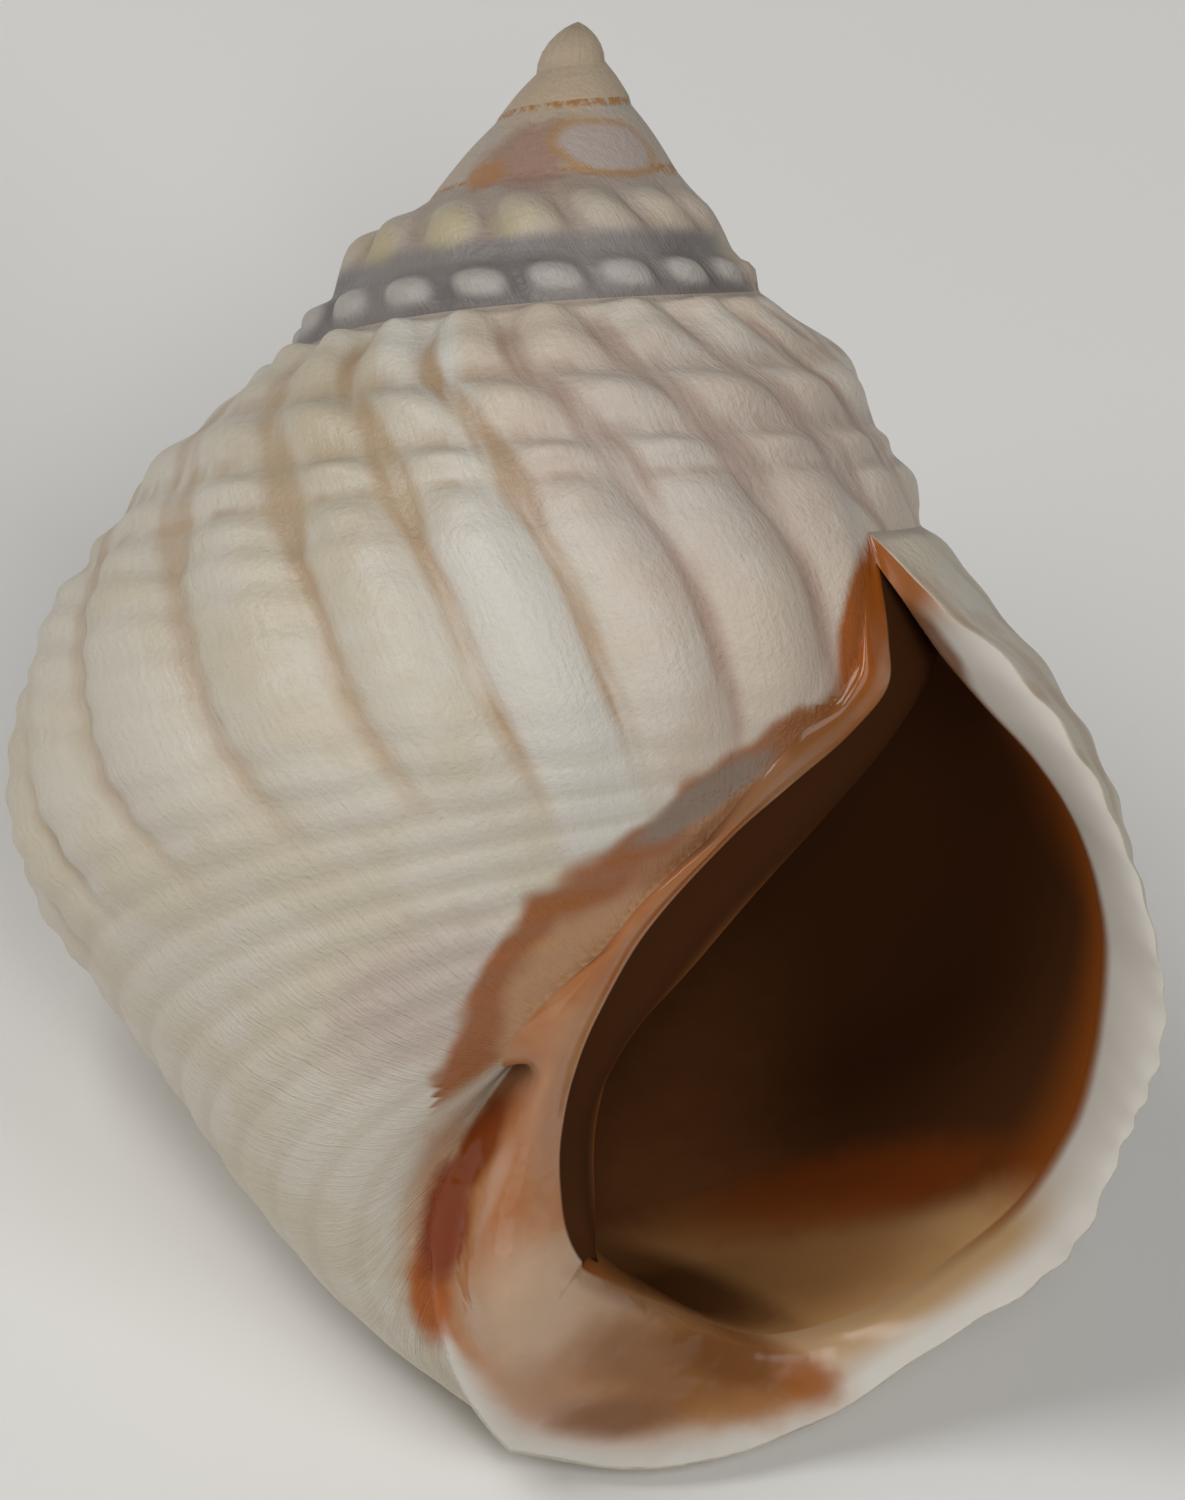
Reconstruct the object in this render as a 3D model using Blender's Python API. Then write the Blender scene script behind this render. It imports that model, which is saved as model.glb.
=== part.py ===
import math

import bpy
import numpy as np
from mathutils import Matrix

# A dextral periwinkle shell, one solid, lying on its back with the mouth up and the spire raised.
# Sizes are in millimetres and angles in degrees until the mesh is made; growth runs from the tip to the lip.
# The shell is first laid out as it is seen from the mouth side: x right, y towards the tip, z to the viewer.
MM = 0.001

# The coil: each whorl is the last one turned about the axis and enlarged by WHORL_GROWTH.
WHORL_GROWTH = 1.889
LIP_ANGLE = 217.0
COLUMN_STEP = 5.0
COLUMNS = 304
SUTURE_SHIFT = 67
SUTURE_LENGTH = 5.46
BASE_ROWS = 22
BODY_WHORL_START = LIP_ANGLE - COLUMN_STEP * SUTURE_SHIFT
AXIS_TILT = 3.0
AXIS_LEAN = 4.4
TIP_HEIGHT = 0.07
TIP_RINGS = (25.0, 50.0, 72.0)
TIP_WEAR = 0.16
WORN_SIZE = 0.2
LIP_SHAPE_START = 5.0
LIP_SHAPE_RISE = 2.5

# Rows between a whorl's two sutures; the small whorls need fewer.
UPPER_ROWS = 11
YOUNG_ROWS = 5
OLDEST_ROWS = 3
YOUNG_BEFORE = -503.0
OLDEST_BEFORE = -863.0

# Whorl profile at growth angle 0: distance from the axis and distance below the tip.
YOUNG_PROFILE = [
    (3.60, 4.78), (4.11, 5.17), (4.86, 5.75), (5.50, 6.41), (6.00, 7.19), (6.43, 7.97), (6.78, 8.76),
    (7.00, 9.58), (7.06, 10.40), (6.98, 11.25), (6.71, 11.94), (6.23, 12.66), (5.50, 13.54),
    (4.79, 14.35), (4.16, 15.13), (3.53, 15.78), (2.87, 16.32), (2.05, 16.62), (1.16, 16.50),
]
# The same at the lip, where the whorl is narrower under the suture and fuller at the base.
LIP_PROFILE = [
    (3.59, 4.73), (3.93, 5.10), (4.27, 5.50), (4.66, 5.91), (5.06, 6.38), (5.46, 7.04), (5.71, 7.66),
    (5.95, 8.26), (6.14, 8.91), (6.25, 9.43), (6.27, 9.95), (6.22, 10.44), (6.12, 11.06),
    (5.96, 11.96), (5.74, 12.65), (5.10, 13.53), (4.40, 14.69), (3.20, 15.68), (1.92, 16.52),
]
# How far each point of a growth line trails the point on the suture.
LINE_LAG = [0, 3, 7, 12, 16, 20, 24, 28, 31, 34, 37, 40.5, 45, 50, 57, 66, 78, 93, 125]

# Ribs across the body whorl and cords round it, for size 1.
BODY_RIBS_START = -190.0
BODY_RIBS_RISE = 70.0
RIB_CREST = -2.0
RIB_SPACING = 18.3
RIB_HEIGHT = 0.24
RIB_TOP = 3.0
RIB_FADE = 7.8
KNOB_HEIGHT = 0.20
CORD_CREST = 1.55
CORD_SPACING = 0.66
CORD_SPREAD = 0.26
CORD_HEIGHT = 0.085
SMOOTH_BASE = 12.5
LIP_FADE_START = 120.0
# Two rows of knobs on the whorl above, with a groove between them; older whorls are worn smooth.
SPIRE_KNOBS_START = -540.0
UPPER_KNOB = -402.0
UPPER_KNOB_SPACING = 25.0
UPPER_KNOB_LENGTH = 2.15
UPPER_KNOB_HEIGHT = 0.34
LOWER_KNOB = -368.0
LOWER_KNOB_SPACING = 19.4
LOWER_KNOB_LENGTH = 4.75
LOWER_KNOB_HEIGHT = 0.30
GROOVE_LENGTH = 3.75
GROOVE_DEPTH = 0.13
FREE_EDGE_END = 36.0

# Where the body whorl passes under the inner lip: growth angle against length down the profile.
INNER_LIP_LINE = [
    (-118.0, 5.46), (-112.5, 6.20), (-109.5, 7.00), (-106.5, 7.80), (-102.0, 8.45), (-95.0, 9.00),
    (-86.0, 10.00), (-77.0, 11.20), (-45.0, 13.20), (-5.0, 14.40), (20.0, 15.50), (35.0, 16.06),
]

# The mouth, from the suture round the outer lip (0 to 1) and back up the inner lip (1 to 2).
# Each station gives a point on the inner edge and one half way out to the rim.
MOUTH = [
    (0.000, (4.02, -7.38, 3.72), (3.97, -7.19, 3.72)),
    (0.040, (4.34, -7.84, 3.50), (4.37, -7.62, 3.64)),
    (0.100, (4.60, -8.24, 3.12), (4.80, -8.08, 3.52)),
    (0.156, (4.91, -8.67, 2.74), (5.28, -8.58, 3.26)),
    (0.214, (5.46, -9.30, 2.35), (5.89, -9.25, 3.01)),
    (0.269, (6.12, -9.99, 2.12), (6.53, -10.06, 2.77)),
    (0.323, (6.60, -10.65, 1.78), (6.97, -10.86, 2.38)),
    (0.376, (6.91, -11.33, 1.37), (7.31, -11.61, 1.97)),
    (0.427, (7.09, -12.02, 0.99), (7.52, -12.39, 1.59)),
    (0.480, (7.16, -12.66, 0.57), (7.61, -13.05, 1.19)),
    (0.526, (7.13, -13.39, 0.16), (7.54, -13.76, 0.79)),
    (0.580, (7.02, -14.17, -0.30), (7.41, -14.46, 0.33)),
    (0.651, (6.74, -15.10, -0.85), (7.12, -15.30, -0.25)),
    (0.718, (6.12, -16.06, -1.37), (6.54, -16.32, -0.85)),
    (0.781, (5.34, -16.77, -1.92), (5.82, -17.06, -1.48)),
    (0.837, (4.16, -17.59, -2.19), (4.54, -17.92, -1.94)),
    (0.890, (2.70, -17.95, -1.92), (2.94, -18.70, -2.05)),
    (0.945, (1.26, -17.39, -0.55), (1.10, -18.80, -1.16)),
    (1.000, (0.37, -16.99, 0.82), (-0.38, -18.49, 0.27)),
    (1.090, (0.12, -16.70, 1.44), (-0.90, -17.84, 1.34)),
    (1.180, (-0.07, -16.36, 1.85), (-1.16, -17.22, 1.85)),
    (1.270, (-0.18, -15.99, 2.05), (-1.15, -16.54, 2.16)),
    (1.340, (-0.23, -15.58, 2.22), (-1.00, -15.85, 2.41)),
    (1.420, (-0.21, -15.07, 2.44), (-0.79, -15.17, 2.71)),
    (1.500, (-0.07, -14.35, 2.74), (-0.52, -14.41, 3.12)),
    (1.580, (0.26, -13.46, 3.29), (-0.11, -13.50, 3.72)),
    (1.630, (0.74, -12.57, 3.72), (0.53, -12.59, 4.02)),
    (1.720, (1.97, -11.13, 4.00), (1.82, -11.21, 4.27)),
    (1.790, (2.83, -10.38, 3.97), (2.66, -10.35, 4.31)),
    (1.850, (3.67, -9.66, 3.87), (3.48, -9.56, 4.18)),
    (1.890, (4.13, -9.10, 3.76), (3.92, -9.01, 4.09)),
    (1.940, (4.16, -8.39, 3.72), (3.98, -8.36, 4.00)),
    (2.000, (4.02, -7.38, 3.72), (3.97, -7.19, 3.72)),
]
# The inner wall of the hollow beside the axis, as profile points at growth angle 0.
PILLAR_WALL = [
    (1.00, (1.30, 13.50)), (1.09, (0.88, 12.55)), (1.18, (0.78, 11.70)), (1.27, (0.74, 10.90)),
    (1.34, (0.80, 10.35)), (1.42, (0.94, 9.90)), (1.50, (1.27, 9.40)), (1.58, (1.76, 8.90)),
    (1.63, (2.20, 8.38)), (1.72, (2.88, 7.60)), (1.79, (3.40, 6.95)), (1.85, (3.76, 6.35)),
    (1.89, (3.88, 6.00)), (1.94, (3.88, 5.65)), (2.00, (3.83, 5.35)),
]
WALL_THICKNESS = 0.50
HOLLOW_SWEEP = 252.0
HOLLOW_SETTLING = 60.0
CORNER_THICKNESS = 0.12
CORNER_END = 0.25
HOLLOW_STEP = 18.0
HOLLOW_THINNING = 3
LIP_RINGS = (0.13, 0.26, 0.42, 0.68, 1.0)
CHINK_DEPTH = 0.8
CHINK_START = 1.04
CHINK_END = 1.36
CHINK_RING = 0.26

# The shell rests on a small worn flat on the back of the body whorl.
REST_PITCH = 38.0
REST_ROLL = -14.0
FLAT_CUT = 0.22
FLAT_ANGLE = 125.0
FLAT_LENGTH = 9.1
FLAT_TURN = 15.0
FLAT_HEIGHT = 1.5

SHELL_COLOR = (0.43, 0.40, 0.34, 1.0)
SHELL_ROUGHNESS = 0.38


def smoothStep(x):
    x = np.clip(x, 0.0, 1.0)
    return x * x * (3.0 - 2.0 * x)


def cubicThrough(knots, values, x):
    """Read a smooth curve through the given points."""
    knots = np.asarray(knots, float)
    values = np.asarray(values, float)
    x = np.asarray(x, float)
    slope = np.gradient(values, knots, axis=0)
    i = np.clip(np.searchsorted(knots, x, side="right") - 1, 0, len(knots) - 2)
    width = knots[i + 1] - knots[i]
    f = (x - knots[i]) / width
    if values.ndim > 1:
        f = f[..., None]
        width = width[..., None]
    start = (2 * f**3 - 3 * f**2 + 1) * values[i] + (f**3 - 2 * f**2 + f) * width * slope[i]
    end = (3 * f**2 - 2 * f**3) * values[i + 1] + (f**3 - f**2) * width * slope[i + 1]
    return start + end


LENGTHS = np.concatenate([[0.0], np.cumsum(np.hypot(*np.diff(np.array(YOUNG_PROFILE), axis=0).T))])
PROFILE_LENGTH = LENGTHS[-1]


def growth(angle):
    return WHORL_GROWTH ** (np.asarray(angle, float) / 360.0)


def axisPose():
    """Rotation from the coil's own axis to the view from the mouth side."""
    lean = math.radians(AXIS_LEAN)
    tilt = math.radians(AXIS_TILT)
    leaning = np.array([
        [1, 0, 0],
        [0, math.cos(lean), math.sin(lean)],
        [0, -math.sin(lean), math.cos(lean)],
    ])
    tilting = np.array([
        [math.cos(tilt), math.sin(tilt), 0],
        [-math.sin(tilt), math.cos(tilt), 0],
        [0, 0, 1],
    ])
    return tilting @ leaning


POSE = axisPose()


def aroundAxis(azimuth, radius, depth):
    """A point given about the coil's axis, in the view from the mouth side."""
    turn = np.radians(azimuth)
    points = np.stack([-radius * np.cos(turn), -depth, -radius * np.sin(turn)], axis=-1)
    return points @ POSE.T


def lineLag(length):
    return cubicThrough(LENGTHS, LINE_LAG, length)


def section(azimuth, length):
    """The whorl's profile in the half plane at azimuth, for size 1."""
    reach = LIP_ANGLE - lineLag(length) - LIP_SHAPE_START
    toLip = np.clip((azimuth - LIP_SHAPE_START) / reach, 0.0, 1.0) ** LIP_SHAPE_RISE
    young = cubicThrough(LENGTHS, YOUNG_PROFILE, length)
    lip = cubicThrough(LENGTHS, LIP_PROFILE, length)
    return young + (lip - young) * toLip[..., None]


def smoothWall(angle, length):
    """The outer wall without its relief, on the growth line that starts at angle on the suture."""
    angle, length = np.broadcast_arrays(np.asarray(angle, float), np.asarray(length, float))
    azimuth = angle - lineLag(length)
    profile = section(azimuth, length)
    size = growth(azimuth)
    # the worn tip is blunter than the coil's own point
    worn = TIP_WEAR * (1.0 - smoothStep(size / WORN_SIZE))
    return aroundAxis(azimuth, profile[..., 0] * size, profile[..., 1] * size - worn)


def wallNormal(angle, length):
    along = smoothWall(angle + 0.5, length) - smoothWall(angle - 0.5, length)
    down = smoothWall(angle, length + 0.02) - smoothWall(angle, length - 0.02)
    normal = np.cross(along, down)
    return normal / np.linalg.norm(normal, axis=-1, keepdims=True)


def bump(x, centre, width):
    return np.exp(-((x - centre) / width) ** 2)


def wave(phase, sharpness):
    """Rises to 1 at every whole number of phase."""
    return (0.5 + 0.5 * np.cos(2 * np.pi * phase)) ** sharpness


def ribPhase(angle):
    turns = (RIB_CREST - angle) / RIB_SPACING
    return turns - 0.153 * np.sin(2 * np.pi * turns / 6.0)


def cordPhase(length):
    """Whole numbers fall on the crests of the spiral cords, closer together towards the base."""
    spacing = CORD_SPACING + CORD_SPREAD * np.exp(-(length / 5.2) ** 2)
    return (length - CORD_CREST) / spacing


def relief(angle, length):
    """Height of ribs, knobs and cords above the smooth wall, for size 1."""
    body = smoothStep((angle - BODY_RIBS_START) / BODY_RIBS_RISE)
    spire = smoothStep((angle - SPIRE_KNOBS_START) / 40.0) * (1.0 - body)
    ribs = wave(ribPhase(angle), 0.8)
    cords = wave(cordPhase(length), 0.7)
    nearLip = 1.0 - 0.7 * smoothStep((angle - LIP_FADE_START) / 70.0)
    ribZone = smoothStep((length - RIB_TOP) / 1.2) * (1.0 - smoothStep((length - RIB_FADE) / 2.8))
    knobZone = smoothStep((length - 0.5) / 0.6) * (1.0 - smoothStep((length - 3.2) / 1.2))
    baseZone = 1.0 - 0.75 * smoothStep((length - SMOOTH_BASE) / 1.5)
    ribbed = RIB_HEIGHT * ribZone * (ribs - 0.5) + KNOB_HEIGHT * knobZone * (ribs * cords - 0.3)
    corded = CORD_HEIGHT * smoothStep((length - 0.8) / 1.0) * baseZone * (cords - 0.5)
    adult = ribbed * nearLip + corded
    upper = wave((angle - UPPER_KNOB) / UPPER_KNOB_SPACING, 0.8) - 0.25
    lower = wave((angle - LOWER_KNOB) / LOWER_KNOB_SPACING, 0.8) - 0.2
    knobs = UPPER_KNOB_HEIGHT * bump(length, UPPER_KNOB_LENGTH, 0.85) * upper
    knobs = knobs + LOWER_KNOB_HEIGHT * bump(length, LOWER_KNOB_LENGTH, 0.45) * lower
    knobs = knobs - GROOVE_DEPTH * bump(length, GROOVE_LENGTH, 0.45)
    suture = smoothStep(length / 0.7)
    covered = np.where(angle < BODY_WHORL_START, smoothStep((SUTURE_LENGTH - length) / 0.35), 1.0)
    fromLip = innerLipLength(angle) - length
    freeEdge = np.where(angle < FREE_EDGE_END, 0.15 + 0.85 * smoothStep(fromLip / 1.2), 1.0)
    turned = ((angle - FLAT_ANGLE) / FLAT_TURN) ** 4
    unworn = 1.0 - np.exp(-turned - ((length - FLAT_LENGTH) / FLAT_HEIGHT) ** 4)
    return (adult * body * freeEdge + knobs * spire) * suture * covered * unworn


def innerLipLength(angle):
    """Length down the profile where the body whorl meets the inner lip."""
    angles = [a for a, _ in INNER_LIP_LINE]
    lengths = [b for _, b in INNER_LIP_LINE]
    return np.interp(angle, angles, lengths)


def innerLipAngle(length):
    angles = [a for a, _ in INNER_LIP_LINE]
    lengths = [b for _, b in INNER_LIP_LINE]
    return np.interp(length, lengths, angles)


def wall(angle, length):
    angle = np.asarray(angle, float)
    length = np.asarray(length, float)
    size = growth(angle - lineLag(length))
    height = relief(angle, length) * size ** 0.9
    return smoothWall(angle, length) + wallNormal(angle, length) * height[..., None]


def hollowPoint(station, edge, sweep):
    """A point of the hollow's wall, swept back from the mouth's inner edge."""
    own = edge @ POSE
    azimuth = math.degrees(math.atan2(-own[2], -own[0])) % 360.0
    size = float(growth(azimuth))
    mouth = np.array([math.hypot(own[0], own[2]), -own[1]]) / size
    azimuth -= sweep
    pillarStations = [s for s, _ in PILLAR_WALL]
    pillarPoints = [p for _, p in PILLAR_WALL]
    if station <= 1.0:
        length = station * PROFILE_LENGTH
        here = section(np.array(azimuth), np.array(length))
        before = section(np.array(azimuth), np.array(length - 0.05))
        slope = (here - before) / np.hypot(*(here - before))
        opened = float(smoothStep(station / CORNER_END))
        thickness = CORNER_THICKNESS + (WALL_THICKNESS - CORNER_THICKNESS) * opened
        inner = here + thickness * np.array([-slope[1], slope[0]])
        inner += (pillarPoints[-1] - inner) * (1.0 - float(smoothStep(station / 0.07)))
        inner += (pillarPoints[0] - inner) * float(smoothStep((station - 0.8) / 0.2))
    else:
        inner = cubicThrough(pillarStations, pillarPoints, np.array(station))
    profile = mouth + (inner - mouth) * float(smoothStep(sweep / HOLLOW_SETTLING))
    size = float(growth(azimuth))
    return aroundAxis(azimuth, profile[0] * size, profile[1] * size)


class Surface:
    """Collects the shell's corners and triangles."""

    def __init__(self):
        self.corners = []
        self.faces = []

    def add(self, point):
        self.corners.append(tuple(float(c) for c in point))
        return len(self.corners) - 1

    def face(self, *corners):
        if len(set(corners)) == len(corners):
            self.faces.append(corners)

    def zip(self, first, second):
        """Fill between two lines of (place, corner), taking the next corner in order of place."""
        i = 0
        j = 0
        while i < len(first) - 1 or j < len(second) - 1:
            stepFirst = j == len(second) - 1 or (
                i < len(first) - 1 and first[i + 1][0] <= second[j + 1][0] + 1e-9)
            if stepFirst:
                self.face(first[i][1], first[i + 1][1], second[j][1])
                i += 1
            else:
                self.face(first[i][1], second[j + 1][1], second[j][1])
                j += 1


def upperRows(angle):
    if angle > YOUNG_BEFORE:
        count = UPPER_ROWS
    elif angle > OLDEST_BEFORE:
        count = YOUNG_ROWS
    else:
        count = OLDEST_ROWS
    return np.linspace(0.0, SUTURE_LENGTH, count + 1)


def buildOuterWall(surface):
    angles = LIP_ANGLE + COLUMN_STEP * (np.arange(COLUMNS + 1) - COLUMNS)
    columns = []
    for i, angle in enumerate(angles):
        rows = upperRows(angle)
        points = wall(np.full(len(rows), angle), rows)
        column = []
        for length, point in zip(rows, points):
            if length == 0.0 and i >= SUTURE_SHIFT:
                column.append((0.0, columns[i - SUTURE_SHIFT][-1][1]))
            else:
                column.append((length, surface.add(point)))
        columns.append(column)
    for i in range(COLUMNS):
        surface.zip(columns[i], columns[i + 1])
    closeTip(surface, columns)
    return angles, columns


def closeTip(surface, columns):
    """The worn tip: the open end of the first whorl closed with a dome."""
    loop = [columns[i][0][1] for i in range(SUTURE_SHIFT)]
    loop += [corner for _, corner in columns[0][:0:-1]]
    points = np.array([surface.corners[c] for c in loop])
    previous = loop
    for climb in TIP_RINGS:
        turn = math.radians(climb)
        ring = points * [math.cos(turn) ** 1.5, 1.0, math.cos(turn) ** 1.5]
        ring[:, 1] += (TIP_HEIGHT - points[:, 1]) * math.sin(turn)
        ring = [surface.add(point) for point in ring]
        for a in range(len(loop)):
            b = (a + 1) % len(loop)
            surface.face(previous[a], previous[b], ring[b])
            surface.face(previous[a], ring[b], ring[a])
        previous = ring
    peak = surface.add((0.0, TIP_HEIGHT, 0.0))
    for a in range(len(loop)):
        surface.face(previous[a], previous[(a + 1) % len(loop)], peak)


def buildBase(surface, angles, columns):
    """The body whorl below the suture line, down to the inner lip, row by row."""
    first = COLUMNS - SUTURE_SHIFT
    lengths = np.linspace(SUTURE_LENGTH, PROFILE_LENGTH, BASE_ROWS + 1)
    above = [(angles[i], columns[i][-1][1]) for i in range(first, COLUMNS + 1)]
    lipEdge = []
    innerEdge = []
    for length in lengths[1:]:
        start = float(innerLipAngle(length))
        row = [start] + [a for a in angles if a > start + 1.0]
        points = wall(np.array(row), np.full(len(row), length))
        line = [(a, surface.add(p)) for a, p in zip(row, points)]
        surface.zip(line, above)
        lipEdge.append((length / PROFILE_LENGTH, line[-1][1]))
        down = (length - SUTURE_LENGTH) / (PROFILE_LENGTH - SUTURE_LENGTH)
        innerEdge.append((2.0 - 0.5 * down, line[0][1]))
        above = line
    start = above[0][0]
    bottom = [(1.5 - 0.5 * (a - start) / (LIP_ANGLE - start), c) for a, c in above[1:-1]]
    rim = [(length / PROFILE_LENGTH, corner) for length, corner in columns[-1]]
    return rim + lipEdge + bottom[::-1] + innerEdge[::-1]


def buildMouth(surface, rim):
    """The lip's face from the rim to its inner edge, then the hollow behind it."""
    stations = [s for s, _, _ in MOUTH]
    places = np.array([s for s, _ in rim])
    outer = np.array([surface.corners[c] for _, c in rim])
    edge = cubicThrough(stations, [q for _, q, _ in MOUTH], places)
    middle = cubicThrough(stations, [m for _, _, m in MOUTH], places)
    chink = smoothStep((places - CHINK_START) / 0.12) * (1.0 - smoothStep((places - CHINK_END) / 0.12))
    previous = rim
    for f in LIP_RINGS:
        ring = outer * (1 - f) * (1 - 2 * f) + middle * 4 * f * (1 - f) + edge * f * (2 * f - 1)
        ring[:, 2] -= CHINK_DEPTH * chink * bump(f, CHINK_RING, 0.13)
        line = [(s, surface.add(p)) for s, p in zip(places, ring)]
        closeBand(surface, previous, line)
        previous = line
    kept = list(range(0, len(places), HOLLOW_THINNING))
    for sweep in np.arange(HOLLOW_STEP, HOLLOW_SWEEP + 1.0, HOLLOW_STEP):
        line = [(places[i], surface.add(hollowPoint(places[i], edge[i], sweep))) for i in kept]
        closeBand(surface, previous, line)
        previous = line
    ends = np.array([surface.corners[c] for _, c in previous])
    centre = surface.add(ends.mean(axis=0))
    for a in range(len(previous)):
        surface.face(previous[a][1], previous[(a + 1) % len(previous)][1], centre)


def closeBand(surface, first, second):
    """Fill between two closed rings."""
    surface.zip(first + [(2.001, first[0][1])], second + [(2.001, second[0][1])])


def restPose():
    """Rotation from the view on the mouth to the pose in which the shell lies."""
    pitch = Matrix.Rotation(math.radians(REST_PITCH), 3, "X")
    roll = Matrix.Rotation(math.radians(REST_ROLL), 3, "Y")
    return np.array(pitch @ roll)


def layDown(points):
    """Turn the shell over onto its back, grind the small flat and centre it above the origin."""
    points = points @ restPose().T
    ground = points[:, 2].min() + FLAT_CUT
    points[:, 2] = np.maximum(points[:, 2], ground) - ground
    points[:, :2] -= (points[:, :2].min(axis=0) + points[:, :2].max(axis=0)) / 2.0
    return points * MM


def clearScene():
    for thing in list(bpy.data.objects):
        bpy.data.objects.remove(thing, do_unlink=True)


def shellMaterial():
    material = bpy.data.materials.new("shell")
    material.use_nodes = True
    surface = material.node_tree.nodes["Principled BSDF"]
    surface.inputs["Base Color"].default_value = SHELL_COLOR
    surface.inputs["Roughness"].default_value = SHELL_ROUGHNESS
    surface.inputs["Metallic"].default_value = 0.0
    return material


def buildShell():
    surface = Surface()
    angles, columns = buildOuterWall(surface)
    rim = buildBase(surface, angles, columns)
    buildMouth(surface, rim)
    mesh = bpy.data.meshes.new("shell")
    points = layDown(np.array(surface.corners))
    mesh.from_pydata(points.tolist(), [], [face[::-1] for face in surface.faces])
    mesh.materials.append(shellMaterial())
    mesh.shade_smooth()
    mesh.set_sharp_from_angle(angle=math.radians(50.0))
    shell = bpy.data.objects.new("shell", mesh)
    bpy.context.scene.collection.objects.link(shell)
    return shell


clearScene()
buildShell()
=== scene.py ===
import math

import bpy
import numpy as np
from mathutils import Euler, Matrix, Vector


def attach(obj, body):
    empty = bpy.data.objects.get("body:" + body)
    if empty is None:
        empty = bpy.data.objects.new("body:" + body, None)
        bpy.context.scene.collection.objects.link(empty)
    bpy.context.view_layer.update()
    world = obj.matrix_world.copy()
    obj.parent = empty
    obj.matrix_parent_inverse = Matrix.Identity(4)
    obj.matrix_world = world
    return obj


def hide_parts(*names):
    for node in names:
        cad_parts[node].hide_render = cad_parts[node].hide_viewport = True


# A knobbly periwinkle shell lying on its back on a pale floor, seen from above its mouth.
# Angles are in degrees of growth and sizes in millimetres until the mesh is made, when all becomes metres.
# "View" is the shell as seen from the mouth side: x right, y towards the tip, z to the viewer.

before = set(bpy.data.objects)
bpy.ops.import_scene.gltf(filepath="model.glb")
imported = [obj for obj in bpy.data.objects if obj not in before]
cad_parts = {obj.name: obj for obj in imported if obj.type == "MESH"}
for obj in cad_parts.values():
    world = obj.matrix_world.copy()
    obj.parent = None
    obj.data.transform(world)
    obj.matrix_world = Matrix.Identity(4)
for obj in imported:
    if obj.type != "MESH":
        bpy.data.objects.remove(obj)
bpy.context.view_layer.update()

coil = {
    "whorlGrowth": 1.889,      # how much bigger each whorl is than the last
    "lipAngle": 217.0,
    "turned": 1520.0,          # growth from the tip to the lip
    "columnStep": 1.25,
    "sutureShift": 335.0,      # a whorl's top edge sits on the whorl that many degrees older
    "sutureLength": 5.46,
    "tilt": 3.0,
    "lean": 4.4,
    "tipWear": 0.16,
    "wornSize": 0.2,
    "lipShapeStart": 5.0,
    "lipShapeRise": 2.5,
    "wornBefore": -470.0,      # older whorls are worn to a straight-sided cone
    "wornOver": 60.0,
    "flattened": 0.72,
}
tip = {"height": 0.07, "rings": [12.0, 25.0, 38.0, 50.0, 62.0, 76.0]}
rowsOfMesh = {"recent": 62, "old": 16, "oldBefore": -503.0, "base": 78}
rest = {"pitch": 38.0, "roll": -14.0, "ground": -13.8157, "centre": (0.0107, -7.3721)}

# distance from the axis and distance below the tip, at growth angle 0 and at the lip
youngProfile = [
    (3.6, 4.78), (4.11, 5.17), (4.86, 5.75), (5.5, 6.41), (6.0, 7.19), (6.43, 7.97), (6.78, 8.76),
    (7.0, 9.58), (7.06, 10.4), (6.98, 11.25), (6.71, 11.94), (6.23, 12.66), (5.5, 13.54),
    (4.79, 14.35), (4.16, 15.13), (3.53, 15.78), (2.87, 16.32), (2.05, 16.62), (1.16, 16.5),
]
lipProfile = [
    (3.59, 4.73), (3.93, 5.1), (4.27, 5.5), (4.66, 5.91), (5.06, 6.38), (5.46, 7.04), (5.71, 7.66),
    (5.95, 8.26), (6.14, 8.91), (6.25, 9.43), (6.27, 9.95), (6.22, 10.44), (6.12, 11.06),
    (5.96, 11.96), (5.74, 12.65), (5.1, 13.53), (4.4, 14.69), (3.2, 15.68), (1.92, 16.52),
]
lineLags = [0, 3, 7, 12, 16, 20, 24, 28, 31, 34, 37, 40.5, 45, 50, 57, 66, 78, 93, 125]
innerLipLine = [
    (-118.0, 5.46), (-112.5, 6.2), (-109.5, 7.0), (-106.5, 7.8), (-102.0, 8.45), (-95.0, 9.0),
    (-86.0, 10.0), (-77.0, 11.2), (-45.0, 13.2), (-5.0, 14.4), (20.0, 15.5), (35.0, 16.06),
]
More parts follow.
